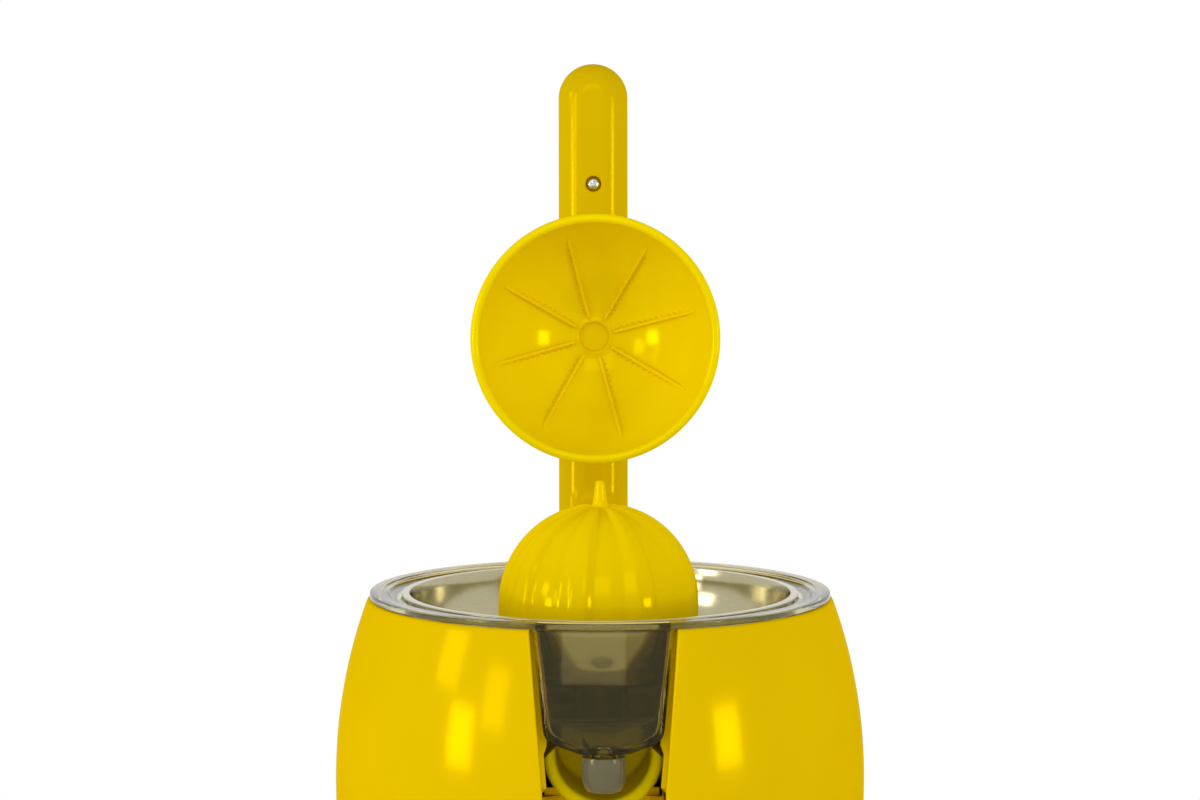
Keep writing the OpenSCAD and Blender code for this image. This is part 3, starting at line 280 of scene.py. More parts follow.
def merged(*parts):
    """Several lists of points and faces as one."""
    verts, faces = [], []
    for v, f in parts:
        faces += [tuple(i + len(verts) for i in face) for face in f]
        verts += v
    return verts, faces


def lathe(profile, segs=160, centre=(0, 0)):
    """A full turn of a closed outline of (radius, height) points."""
    rows = []
    for i in range(segs):
        a = TAU * i / segs
        rows.append([(centre[0] + r * math.cos(a), centre[1] + r * math.sin(a), z) for r, z in profile])
    return loft(rows, ring=True, around=True)


def arc(cx, cy, r, start, end, steps):
    """Points on an arc, in degrees."""
    return [(cx + r * math.cos(math.radians(start + (end - start) * k / steps)),
             cy + r * math.sin(math.radians(start + (end - start) * k / steps))) for k in range(steps + 1)]


def rounded(points, radii, steps=4):
    """A closed outline with its corners rounded by the given radii."""
    result = []
    n = len(points)
    for i, p in enumerate(points):
        r = radii[i] if hasattr(radii, "__len__") else radii
        before, after = Vector(points[i - 1]), Vector(points[(i + 1) % n])
        p = Vector(p)
        if r <= 0:
            result.append(tuple(p))
            continue
        a, b = (before - p), (after - p)
        reach = min(r, 0.45 * a.length, 0.45 * b.length)
        a, b = p + a.normalized() * reach, p + b.normalized() * reach
        for k in range(steps + 1):
            t = k / steps
            result.append(tuple(a * (1 - t) ** 2 + p * 2 * t * (1 - t) + b * t ** 2))
    return result


# Sizes in mm, the same as the CAD model's
RING_Z, BODY_TOP, BELLY_Z, FLOOR_Z = 225.0, 222.3, 153.0, 8.0
TOP_R, MAX_R, BASE_R, WALL = 88.8, 101.3, 81.0, 2.5
SLOT_TOP, SLOT_LOW, SLOT_LOW_Z = 27.1, 22.2, 165.0
BAY_R, ARCH_Z = 44.0, 117.0
SPOUT_Y, SPOUT_Z, SPOUT_TILT = -92.0, 174.3, 40


def _arc_r(rise, inward):
    return (rise * rise + inward * inward) / (2 * inward)


UP_ARC = _arc_r(BODY_TOP - BELLY_Z, MAX_R - TOP_R)
LOW_ARC = _arc_r(BELLY_Z - 4, MAX_R - BASE_R)


def barrel_r(z, inset=0.0):
    """The body's radius at a height, pulled in by inset along the surface's normal."""
    a = UP_ARC if z > BELLY_Z else LOW_ARC
    return MAX_R - a + math.sqrt((a - inset) ** 2 - (z - BELLY_Z) ** 2)


def slot_half(z):
    """Half width of the front opening at a height."""
    if z >= SLOT_LOW_Z:
        return SLOT_LOW + (SLOT_TOP - SLOT_LOW) * (z - SLOT_LOW_Z) / (RING_Z + 0.5 - SLOT_LOW_Z)
    if z > ARCH_Z:
        return max(SLOT_LOW, math.sqrt(max(0.0, BAY_R ** 2 - (z - ARCH_Z) ** 2)))
    return BAY_R


def bezier(a, b, c, steps):
    return [tuple((1 - t) ** 2 * p + 2 * t * (1 - t) * q + t * t * r for p, q, r in zip(a, b, c))
            for t in [k / steps for k in range(steps + 1)]]


ARC_N = 190


def shell_row(z, outer, inner, n=ARC_N):
    """One level of the body's wall: round the outside, over the opening's edge and lip, and back inside."""
    w, soft = slot_half(z), min(1.3, 0.45 * (outer - inner))
    lip = max(0.0, min(1.0, z - SLOT_LOW_Z)) if outer - inner > 2 else 0.0
    reach = min(w - 3, max(soft_half(z, 0) + 0.35, w - 2.2)) if z > 178 else w - 1.6
    def at(r, x):
        return math.asin(min(1, x / r))
    def point(r, turn):
        return (r * math.sin(turn), -r * math.cos(turn), z)
    behind = w + (1.5 * lip or 0.7 * soft)
    start_out, start_in = at(outer, w + soft), at(inner, behind)
    def spread(a, k):
        t = k / (n - 1)
        return a + (TAU - 2 * a) * t
    out = [point(outer, spread(start_out, k)) for k in range(n)]
    inn = [point(inner, spread(start_in, k)) for k in range(n)]
    def edge(side):
        front, deep = -math.sqrt(outer ** 2 - w * w), -math.sqrt(inner ** 2 - w * w)
        below = min(front + soft, (front + deep) / 2)
        first = out[0] if side > 0 else out[-1]
        if lip:
            path = [(w, deep + 0.2), (w, deep + 4.6), (reach, deep + 5.2), (reach, deep + 6.4),
                    (behind, deep + 6.4), (behind, deep + 0.9)]
        else:
            path = [(w + t * t * (behind - w), deep - soft * (1 - t) ** 2 * 0.7)
                    for t in [k / 6 for k in range(6)]]
        edge_round = bezier(first, (side * w, front, z), (side * w, below, z), 5)[1:]
        return edge_round, [(side * x, y, z) for x, y in path]
    turn_a, turn_b = edge(-1)
    back_a, back_b = edge(1)
    return out + turn_a + turn_b + inn[::-1] + back_b[::-1] + back_a[::-1]


def make_body_shell():
    """The barrel's wall with its front opening, every edge rounded."""
    levels = {FLOOR_Z: 0.9, FLOOR_Z + 0.15: 0.45, FLOOR_Z + 0.5: 0.12, FLOOR_Z + 0.9: 0.0,
              BODY_TOP - 1.3: 0.0, BODY_TOP - 0.9: 0.05, BODY_TOP - 0.5: 0.2,
              BODY_TOP - 0.15: 0.5, BODY_TOP: 0.95}
    heights = [9.6 + (ARCH_Z - 10.6) * k / 26 for k in range(27)]
    heights += [ARCH_Z + 38.0 * math.sin(math.pi / 2 * k / 24) for k in range(25)]
    heights += [155.5, 158, 161, 164.2, 165, 165.8, 168]
    heights += [168 + (BODY_TOP - 2 - 168) * k / 16 for k in range(1, 17)]
    for z in heights:
        levels.setdefault(z, 0.0)
    rows = [shell_row(z, barrel_r(z) - levels[z], barrel_r(z, WALL) + min(levels[z], 0.9))
            for z in sorted(levels)]
    verts, faces = loft(rows, caps=(False, False))
    size, n = len(rows[0]), ARC_N
    turn = (size - 2 * n) // 2
    for base in (0, (len(rows) - 1) * size):
        inner = base + n + turn
        for k in range(n - 1):
            faces.append((base + k, base + k + 1, inner + n - 2 - k, inner + n - 1 - k))
        faces.append(tuple(base + k for k in range(n - 1, n + turn + 1)))
        faces.append(tuple(base + k for k in range(2 * n + turn - 1, size)) + (base,))
    return verts, faces


# Half outline of the clear box's front: (half width, height)
BOX_OUTLINE = [(7.6, 178.6), (8.6, 179.0), (11.8, 180.2), (15.0, 181.2), (17.8, 182.1),
               (19.9, 183.1), (21.1, 184.4), (21.75, 186.2), (22.1, 188.5), (26.2, 224.5)]


def soft_half(z, inset):
    """Half width of the clear box at a height: sloping sides, soft shoulders, a lip over the outlet."""
    rise = z - inset * max(0.0, min(1.0, (196 - z) / 10))
    for (x0, z0), (x1, z1) in zip(BOX_OUTLINE, BOX_OUTLINE[1:]):
        if rise <= z1 or z1 > 224:
            return max(0.5, x0 + (x1 - x0) * (rise - z0) / (z1 - z0) - inset * (0.5 if z < 184 else 1.0))


def box_solid(inset, top, back):
    """The clear box or the hollow in it: level rows from the lip up."""
    rows = []
    low = 179 + inset
    heights = [low, low + 0.25, low + 0.6]
    heights += [low + 0.6 + (top - low - 0.6) * (k / 30) ** 1.3 for k in range(1, 31)]
    for i, z in enumerate(heights):
        pull = (0.7, 0.2, 0.0)[i] if i < 3 else 0.0
        half = soft_half(z, inset) - pull
        r = barrel_r(z, 1.6 + inset) - pull
        soft = 2.4 - inset * 0.5
        def front(x):
            return -math.sqrt(r * r - x * x)
        flat = [(-(half - soft) + 2 * (half - soft) * k / 14) for k in range(15)]
        mid = [(x, front(x), z) for x in flat]
        left = bezier((-half, front(half) + soft, z), (-half, front(half), z), mid[0], 5)
        right = bezier(mid[-1], (half, front(half), z), (half, front(half) + soft, z), 5)
        sides = 8
        y0 = front(half) + soft
        up = [(half, y0 + (back - y0) * k / sides, z) for k in range(1, sides + 1)]
        down = [(-half, back + (y0 - back) * k / sides, z) for k in range(0, sides)]
        rows.append(left + mid[1:-1] + right + up + down)
    return loft(rows)


def oval(floor_r, rim_r, low, rise, thick, steps=14):
    """A quarter oval from a floor's edge up to a rim, moved up and in by thick."""
    return [(floor_r + (rim_r - floor_r - thick) * math.sin(TAU / 4 * k / steps),
             low + rise * (1 - math.cos(TAU / 4 * k / steps)) + thick * math.cos(TAU / 4 * k / steps))
            for k in range(steps + 1)]


def solid(name, data):
    """A loose object for a cut or a join, not kept."""
    mesh = bpy.data.meshes.new(name)
    mesh.from_pydata(data[0], [], data[1])
    bm = bmesh.new()
    bm.from_mesh(mesh)
    bmesh.ops.remove_doubles(bm, verts=bm.verts, dist=1e-5)
    bmesh.ops.recalc_face_normals(bm, faces=bm.faces)
    bm.to_mesh(mesh)
    bm.free()
    obj = bpy.data.objects.new(name, mesh)
    scene.collection.objects.link(obj)
    return obj


def combine(base, tools):
    """base with each (operation, object) done in turn. Points come back in mm."""
    for how, tool in tools:
        mod = base.modifiers.new("step", "BOOLEAN")
        mod.operation = how
        mod.solver = "EXACT"
        mod.object = tool
        mesh = bpy.data.meshes.new_from_object(base.evaluated_get(bpy.context.evaluated_depsgraph_get()))
        base.modifiers.clear()
        base.data = mesh
        bpy.data.objects.remove(tool)
    mesh = base.data
    verts = [tuple(v.co) for v in mesh.vertices]
    faces = [tuple(p.vertices) for p in mesh.polygons]
    bpy.data.objects.remove(base)
    return verts, faces


def rod(radius, low, high, centre=(0, 0), segs=64):
    return lathe([(0, low), (radius, low), (radius, high), (0, high)], segs, centre)


def make_container():
    """The clear flange and bowl with the box in front, the chimney round the spindle, and the outlet."""
    outer = [(0, 184)] + oval(66, 80, 184, 31.4, 0) + \
        rounded([(80.2, 219), (83.2, 222.6), (88, 222.6), (88, 225), (83.4, 225), (83.1, 224.6),
                 (0, 224.6)],
                [1.2, 0.8, 0.5, 0.7, 0.12, 0.1, 0], 4)
    inner = [(0, 186)] + oval(66, 80, 184, 31.4, 2) + \
        rounded([(78, 219.2), (74.5, 221.2), (74.5, 223.2), (79.8, 223.2), (81.6, 225), (82.2, 226.5),
                 (0, 226.5)],
                [0.6, 0.6, 0.3, 0.8, 0.6, 0, 0], 4)
    base = solid("clear_bowl", lathe(outer, 200))
    steps = [("UNION", solid("clear_box", box_solid(0, 223.8, -60))),
             ("DIFFERENCE", solid("bowl_hollow", lathe(inner, 200))),
             ("DIFFERENCE", solid("box_hollow", box_solid(2, 221.2, -62)))]
    chimney = [(9, 183.5), (11, 183.5)]
    chimney += arc(10.2, 212.2, 0.8, 0, 90, 4) + arc(9.6, 212.4, 0.6, 90, 180, 4)
    steps.append(("UNION", solid("chimney", lathe(chimney, 96))))
    steps.append(("DIFFERENCE", solid("chimney_hole", rod(9, 180, 190, segs=96))))
    ball_r, neck_r = 5.55, 4.3
    ball = [(0, SPOUT_Z - ball_r)] + arc(0, SPOUT_Z, ball_r, -82, 39, 24)
    ball += [(neck_r, SPOUT_Z + 4.2), (neck_r + 0.5, 179.3), (0, 179.6)]
    steps.append(("UNION", solid("outlet_ball", lathe(ball, 64, (0, SPOUT_Y)))))
    steps.append(("DIFFERENCE", solid("outlet", rod(3.4, SPOUT_Z - 8, 181.8, (0, SPOUT_Y), 48))))
    return combine(base, steps)


def make_reamer():
    """The ribbed dome with its tip, hollow below, with a six-sided socket for the spindle."""
    ribs, cols = 9, 32   # points round each rib
    n = ribs * cols
    def smooth(t):
        t = min(1.0, max(0.0, t))
        return t * t * (3 - 2 * t)
    def rise(k):
        # From the crease: a broad panel, a slope up, the rib's flat, and a steep drop
        u = (k % cols) / cols
        panel = 0.12 * math.sin(math.pi * min(1, u / 0.5)) * (u < 0.5)
        return smooth((u - 0.42) / 0.26) * (1 - smooth((u - 0.85) / 0.15)) + panel
    def turn(k):
        return math.radians(-4 + 360 * k / n) - math.pi / 2
    centre, low = 219.3, 199.5
    rows = []
    def ring(radius, z):
        rows.append([(radius * math.cos(turn(k)), radius * math.sin(turn(k)), z) for k in range(n)])
    # Inside, from the socket's top down, up the hollow and down to the lower edge
    def hexagon(across, z):
        row = []
        for k in range(n):
            a = turn(k)
            r = across * math.cos(math.pi / 6) / math.cos((a % (math.pi / 3)) - math.pi / 6)
            row.append((r * math.cos(a), r * math.sin(a), z))
        rows.append(row)
    hexagon(5.3, 246.2)
    hexagon(5.3, 215.2)
    hexagon(5.8, 214.6)
    ring(7.0, 214.6)
    ring(7.6, 215.2)
    hollow = 34.2
    for k in range(13):
        a = math.radians(12.9 + (90 - 12.9) * k / 12)
        ring(hollow * math.sin(a), centre + hollow * math.cos(a))
    ring(hollow, low + 0.8)
    ring(hollow + 0.4, low + 0.1)
    # Outside, up the skirt and over the dome
    base, depth = 37.0, 1.9
    def outer(z_of, radius_of):
        rows.append([(radius_of(k) * math.cos(turn(k)), radius_of(k) * math.sin(turn(k)), z_of(k))
                     for k in range(n)])
    for up, pull, share in [(0, 0.9, 0.75), (0.25, 0.3, 0.8), (0.8, 0.0, 0.85), (4, 0, 0.88),
                            (9, 0, 0.92), (13, 0, 0.96), (17, 0, 1.0)]:
        outer(lambda k, z=low + up: z, lambda k, p=pull, s=share: base + depth * s * rise(k) - p)
    steps = 34
    for i in range(steps + 1):
        polar = math.radians(90 - (90 - 5.2) * i / steps)
        share = smooth((math.degrees(polar) - 3) / 13)
        def radius(k):
            return base + depth * share * rise(k) + (1 - share) * depth * 0.55
        outer(lambda k, q=polar: centre + radius(k) * math.cos(q),
              lambda k, q=polar: radius(k) * math.sin(q))
    for r, z in [(3.05, 257.6), (2.75, 258.5), (2.5, 259.9), (2.2, 262), (1.95, 264.2), (1.75, 265.8),
                 (1.6, 266.5), (1.25, 266.85), (0.7, 266.9)]:
        ring(r, z)
    return loft(rows)


ARM_TURN = -93.2


def raised(point):
    """A point of the lowered arm or cup, turned up about the hinge."""
    a = math.radians(ARM_TURN)
    y, z = point[1] - HINGE_Y, point[2] - HINGE_Z
    return (point[0],
            HINGE_Y + y * math.cos(a) - z * math.sin(a),
            HINGE_Z + y * math.sin(a) + z * math.cos(a))


CUP_RIM, CUP_DEPTH, CUP_IN, CUP_WALL, CUP_OUT = 223.0, 43.0, 49.0, 3.0, 52.0
CUP_FACE = CUP_IN - 0.4
CUP_ARC = (CUP_IN ** 2 + CUP_DEPTH ** 2) / (2 * CUP_DEPTH)
CUP_MID = CUP_RIM + CUP_DEPTH - CUP_ARC


def make_cup_profile():
    """Half outline of the cup: socket, bowl, round lip and the boss behind it, drawn lowered."""
    def bowl_z(x, wall=0.0):
        return CUP_MID + math.sqrt(max((CUP_ARC + wall) ** 2 - x * x, 0))
    inner = [CUP_FACE * math.sin(TAU / 4 * k / 40) for k in range(41)]
    front = [(x, bowl_z(x)) for x in inner if x > 9.4]
    lip = arc(CUP_FACE + 1.5, CUP_RIM + 1.5, 1.9, -180, 0, 14)
    outer = [CUP_OUT * math.sin(TAU / 4 * k / 40) for k in range(41)]
    back = [(x, bowl_z(x, CUP_WALL)) for x in outer
            if x > 10.5 and bowl_z(x, CUP_WALL) > CUP_RIM + 2.4]
    socket = [(0, 268.1), (5.6, 268.1), (6.0, 267.8), (6.2, 265.6), (6.5, 265.0), (7.0, 264.75),
              (7.6, 264.95), (8.2, bowl_z(8.2) - 0.25), (8.9, bowl_z(8.9) - 0.05)]
    boss = [(10.2, back[0][1]), (10, back[0][1] + 0.6), (10, 269.3), (9.8, 269.8), (9.2, 270.1), (0, 270.1)]
    return socket + front + lip + back[::-1] + boss


def make_cup():
    """The cup with its boss and the lug that hangs on the arm's pin."""
    rows = []
    for x, pull in ((-5.9, 0.5), (-5.4, 0.0), (5.4, 0.0), (5.9, 0.5)):
        r = LUG_R - pull
        top = [(x, r * math.cos(math.pi * k / 24), CUP_PIN_Z + r * math.sin(math.pi * k / 24))
               for k in range(25)]
        rows.append(top + [(x, -r, 269.0), (x, r, 269.0)])
    base = solid("cup_base", lathe(make_cup_profile(), 200))
    return combine(base, [("UNION", solid("lug", loft(rows))),
                          ("DIFFERENCE", solid("lug_bore", bar(2.05, 12, 0, CUP_PIN_Z, 40)))])


def make_cup_rib(side):
    """One thin rib with a saw-toothed ledge on one side, from the socket out to near the lip."""
    teeth, first, last = 14, 8.6, 43.5
    rows = []
    steps = teeth * 4
    for k in range(steps + 1):
        s = first + (last - first) * k / steps
        floor_z = CUP_MID + math.sqrt(CUP_ARC ** 2 - s * s)
        fade = min(1, 0.12 + (steps - k) / 9)
        lift = 2.6 * fade
        tooth = (0.1, 0.7, 1.4, 0.7)[k % 4] * fade if 2 < k else 0.1
        rows.append([(s, -0.75 * side, floor_z + 1.4), (s, -0.7 * side, floor_z - lift + 0.2),
                     (s, -0.5 * side, floor_z - lift),
                     (s, 0.4 * side, floor_z - lift), (s, 0.6 * side, floor_z - lift + 0.2),
                     (s, (0.65 + tooth * 0.2) * side, floor_z - lift * 0.5),
                     (s, (0.7 + tooth) * side, floor_z - 0.05),
                     (s, (0.7 + tooth) * side, floor_z + 1.4)])
    return loft(rows)


def make_scoop():
    """The U-shaped scoop behind the spout: a round trough with ridges at its front and a closed back."""
    mid_z, back, inner_r = 177.0, -49.0, 17.4
    loop = [(22.0, back), (22.0, -70), (22.0, -80.6)] + arc(20.3, -81.3, 1.7, 0, -90, 6)[1:] + [(19.7, -83.0)]
    loop += arc(18.8, -81.6, 1.4, -90, -180, 5) + [(inner_r, -78), (inner_r, -60), (inner_r, -53)]
    loop += arc(16.4, -53, 1.0, 0, 90, 4)[1:] + [(12, -52), (6, -52), (0, -52), (0, back), (12, back)]
    rows = []
    steps = 72
    for i in range(steps + 1):
        row = []
        for r, y in loop:
            level = 2.3 - max(0.0, r - inner_r)
            start = math.asin(max(-1, min(1, level / r))) if r > 0.01 else math.pi / 2
            a = start + (-math.pi - 2 * start) * i / steps
            row.append((r * math.cos(a), y, mid_z + r * math.sin(a)))
        rows.append(row)
    return loft(rows)


def make_spout():
    """The clear bulb that hangs under the outlet, with its rounded mouth."""
    bulb_r, bulb_h, bulb_mid, square, wall = 8.1, 10.6, -1.0, 2.6, 1.7
    def swell(z):
        return bulb_r * (1 - abs((z - bulb_mid) / bulb_h) ** square) ** (1 / square)
    levels = [3.45 - 11.75 * k / 24 for k in range(25)]
    outer = [(swell(z), z) for z in levels]
    edge = outer[-1][0]
    outer += [(edge - 0.35, -8.8), (edge - 0.8, -9.05), (edge - 1.25, -8.8)]
    inner = [(min(swell(z) - wall, 5.95), z) for z in levels[::-1] if z < -0.5]
    inner += [(5.95, 0.4), (5.75, 1.6), (5.2, 2.95), (5.05, 3.3), (5.3, 3.45)]
    bulb = solid("bulb", lathe([(r, SPOUT_Z + z) for r, z in outer + inner], 96, (0, SPOUT_Y)))
    # Its top is cut away once, at a slant, so that it stays clear of the box when the bulb is tilted back
    tilt, cut, far = math.radians(-SPOUT_TILT), 3.4, 30
    corners = [(-far, -far), (far, -far), (far, far), (-far, far)]
    rows = []
    for h in (cut, far):
        rows.append([(x, SPOUT_Y + y * math.cos(tilt) - h * math.sin(tilt),
                      SPOUT_Z + y * math.sin(tilt) + h * math.cos(tilt)) for x, y in corners])
    return combine(bulb, [("DIFFERENCE", solid("tilt_room", loft(rows)))])


SIEVE_HOLES_IN, SIEVE_HOLES_OUT = 16.5, 51.5
SIEVE_LOW, SHEET = 196.3, 0.8


def make_sieve_profile():
    """Half outline of the sieve's outer part: floor ring, curved wall and rolled rim."""
    floor_r, wall, rise = 56, 73.0, 27.2
    lower = [(SIEVE_HOLES_OUT, SIEVE_LOW)] + oval(floor_r, wall, SIEVE_LOW, rise, 0, 22)
    edge = [(wall + 0.3, 223.35), (75.4, 223.5)] + arc(75.5, 223.9, 0.4, -90, 90, 6)
    edge += [(73.6, 224.3), (72.9, 224.25)]
    upper = oval(floor_r, wall, SIEVE_LOW, rise, SHEET, 22)[::-1][1:]
    return lower + edge + upper + [(SIEVE_HOLES_OUT, SIEVE_LOW + SHEET)]


def make_sieve_collar():
    """Half outline of the sieve's collar, which stands round the chimney."""
    low, top = SIEVE_LOW, SIEVE_LOW + SHEET
    collar = [(SIEVE_HOLES_IN, low), (SIEVE_HOLES_IN, top), (13.8, top)]
    collar += arc(13.6, top + 1.0, 1.0, -90, -180, 4)[1:] + [(12.6, 207.4)]
    return collar + arc(12.2, 207.9, 0.4, 0, 180, 5) + [(11.8, 205), (11.8, low)]


def sieve_tree():
    """Geometry Nodes: a six-sided tile with a round hole, set out in staggered rows between two radii."""
    tree = bpy.data.node_groups.new("sieve_holes", "GeometryNodeTree")
    keys = {}
    for label, kind in (("Rows", "NodeSocketGeometry"), ("Tile", "NodeSocketObject"),
                        ("Inner radius", "NodeSocketFloat"), ("Outer radius", "NodeSocketFloat"),
                        ("Finish", "NodeSocketMaterial")):
        keys[label] = tree.interface.new_socket(label, in_out="INPUT", socket_type=kind)
    tree.interface.new_socket("Mesh", in_out="OUTPUT", socket_type="NodeSocketGeometry")
    nodes, links = tree.nodes, tree.links
    given = nodes.new("NodeGroupInput")
    info = nodes.new("GeometryNodeObjectInfo")
    where = nodes.new("GeometryNodeInputPosition")
    length = nodes.new("ShaderNodeVectorMath")
    length.operation = "LENGTH"
    near, far, either = [nodes.new("ShaderNodeMath") for _ in range(3)]
    near.operation, far.operation, either.operation = "LESS_THAN", "GREATER_THAN", "ADD"
    drop = nodes.new("GeometryNodeDeleteGeometry")
    put = nodes.new("GeometryNodeInstanceOnPoints")
    real = nodes.new("GeometryNodeRealizeInstances")
    paint = nodes.new("GeometryNodeSetMaterial")
    result = nodes.new("NodeGroupOutput")
    links.new(given.outputs["Tile"], info.inputs["Object"])
    links.new(where.outputs["Position"], length.inputs[0])
    links.new(length.outputs["Value"], near.inputs[0])
    links.new(given.outputs["Inner radius"], near.inputs[1])
    links.new(length.outputs["Value"], far.inputs[0])
    links.new(given.outputs["Outer radius"], far.inputs[1])
    links.new(near.outputs["Value"], either.inputs[0])
    links.new(far.outputs["Value"], either.inputs[1])
    links.new(given.outputs["Rows"], drop.inputs["Geometry"])
    links.new(either.outputs["Value"], drop.inputs["Selection"])
    links.new(drop.outputs["Geometry"], put.inputs["Points"])
    links.new(info.outputs["Geometry"], put.inputs["Instance"])
    links.new(put.outputs["Instances"], real.inputs["Geometry"])
    links.new(real.outputs["Geometry"], paint.inputs["Geometry"])
    links.new(given.outputs["Finish"], paint.inputs["Material"])
    links.new(paint.outputs["Geometry"], result.inputs["Mesh"])
    return tree, {label: item.identifier for label, item in keys.items()}


def make_sieve_holes():
    """The perforated part of the sieve's floor, as points and faces in mm."""
    pitch, hole, low, high, reach = 3.2, 0.85, SIEVE_LOW + 0.04, SIEVE_LOW + SHEET - 0.04, 22
    tile_r = pitch / math.sqrt(3)
    rows = []
    for radius, z in ((tile_r, low), (tile_r, high), (hole, high), (hole, low)):
        row = []
        for k in range(12):
            a = TAU * k / 12 + math.pi / 6
            r = radius if radius == hole or k % 2 == 0 else radius * math.cos(math.pi / 6)
            row.append((r * math.cos(a), r * math.sin(a), z))
        rows.append(row)
    tile = solid("sieve_tile", loft(rows, around=True))
    points = []
    for j in range(-reach, reach + 1):
        for i in range(-reach, reach + 1):
            points.append(((i + (j % 2) / 2) * pitch, j * pitch * math.sqrt(3) / 2, 0))
    cloud = bpy.data.meshes.new("sieve_rows")
    cloud.from_pydata(points, [], [])
    carrier = bpy.data.objects.new("sieve_rows", cloud)
    scene.collection.objects.link(carrier)
    tree, keys = sieve_tree()
    mod = carrier.modifiers.new("holes", "NODES")
    mod.node_group = tree
    mod[keys["Tile"]] = tile
    mod[keys["Inner radius"]] = SIEVE_HOLES_IN + 0.6
    mod[keys["Outer radius"]] = SIEVE_HOLES_OUT - 0.6
    mod[keys["Finish"]] = POLISHED_PAINTED_REFLECTION
    bpy.context.view_layer.update()
    mesh = bpy.data.meshes.new_from_object(carrier.evaluated_get(bpy.context.evaluated_depsgraph_get()))
    bpy.data.objects.remove(carrier)
    bpy.data.objects.remove(tile)
    return [tuple(v.co) for v in mesh.vertices], [tuple(p.vertices) for p in mesh.polygons]


# Arm: half shells swept along the arm's line, drawn lowered and turned up
HINGE_Y, HINGE_Z, ARM_RISE, ARM_REACH = 106.2, 206.3, 85.5, 117.5
ARM_W, ARM_T, BEND_R = 29.8, 23.0, 42.0
ARM_LEVEL = HINGE_Z + ARM_RISE
END_R = ARM_T / 2
ARM_TIP_Y = -ARM_REACH + ARM_W / 2 + 0.02


def arm_line():
    """Stations of the arm's line: (y, z, turn of the outward side)."""
    turn_y, turn_z = HINGE_Y - BEND_R, ARM_LEVEL - BEND_R
    stations = []
    for k in range(13):
        stations.append((HINGE_Y, HINGE_Z + (turn_z - HINGE_Z) * k / 12, 0.0))
    for k in range(1, 31):
        a = math.pi / 2 * k / 30
        stations.append((turn_y + BEND_R * math.cos(a), turn_z + BEND_R * math.sin(a), a))
    for k in range(1, 41):
        stations.append((turn_y + (ARM_TIP_Y - turn_y) * k / 40, ARM_LEVEL, math.pi / 2))
    return stations


def arm_half(side):
    """One half shell of the arm: side 1 is the outer half, -1 faces the cup. Its end is a half turn."""
    shift, wall, first = (ARM_W - ARM_T) / 2, 2.5, 1.2
    inner = END_R - wall
    right = []
    for k in range(17):
        a = math.radians(first + (90 - first) * k / 16)
        right.append((shift + END_R * math.cos(a), END_R * math.sin(a)))
    right += [(shift / 2, END_R), (0, END_R), (0, inner)]
    for k in range(11):
        a = math.radians(90 - 88.8 * k / 10)
        right.append((shift + inner * math.cos(a), inner * math.sin(a) if k < 10 else 0.05))
    right.append((shift + END_R - 0.5, 0.05))
    top, low = right.index((0, END_R)), right.index((0, inner))
    outline = right[:top + 1] + [(-x, n) for x, n in right[:top][::-1]]
    outline += [(-x, n) for x, n in right[low + 1:][::-1]] + right[low:]
    rows = []
    for y, z, turn in arm_line():
        rows.append([(x, y + side * n * math.cos(turn), z + side * n * math.sin(turn)) for x, n in outline])
    ends = []
    for i in range(41):
        a = math.pi * i / 40
        ends.append([(x * math.cos(a), ARM_TIP_Y - x * math.sin(a), ARM_LEVEL + side * n) for x, n in right])
    return merged(loft(rows, caps=(True, False)), loft(ends, caps=(False, False)))


def bar(radius, half_len, y, z, segs=64, soft=0.5):
    """A round bar along X with soft ends."""
    profile = [(0, -half_len)] + arc(radius - soft, -half_len + soft, soft, -90, 0, 3) + \
        arc(radius - soft, half_len - soft, soft, 0, 90, 3) + [(0, half_len)]
    rows = []
    for i in range(segs):
        a = TAU * i / segs
        rows.append([(x, y + r * math.cos(a), z + r * math.sin(a)) for r, x in profile])
    return loft(rows, around=True)


def block(low, high):
    x0, y0, z0 = low
    x1, y1, z1 = high
    rows = [[(x0, y0, z), (x1, y0, z), (x1, y1, z), (x0, y1, z)] for z in (z0, z1)]
    return loft(rows)


SCREW_ROWS, SCREW_R = (-65.5, 34.0), 1.5
CUP_PIN_Z, LUG_R = 274.6, 4.2


def make_arm_outer():
    """The arm's back half with the hinge's knuckle and the screws' bosses."""
    base = solid("arm_outer_base", arm_half(1))
    steps = [("UNION", solid("knuckle", bar(11.0, 13.9, HINGE_Y, HINGE_Z)))]
    for y in SCREW_ROWS:
        steps.append(("UNION", solid("boss", rod(4, ARM_LEVEL, ARM_LEVEL + END_R - 1.2, (0, y), 32))))
        hole = rod(SCREW_R, ARM_LEVEL - 1, ARM_LEVEL + END_R / 2, (0, y), 24)
        steps.append(("DIFFERENCE", solid("hole", hole)))
    steps.append(("DIFFERENCE", solid("bore", bar(5.0, 30, HINGE_Y, HINGE_Z, 48))))
    return combine(base, steps)


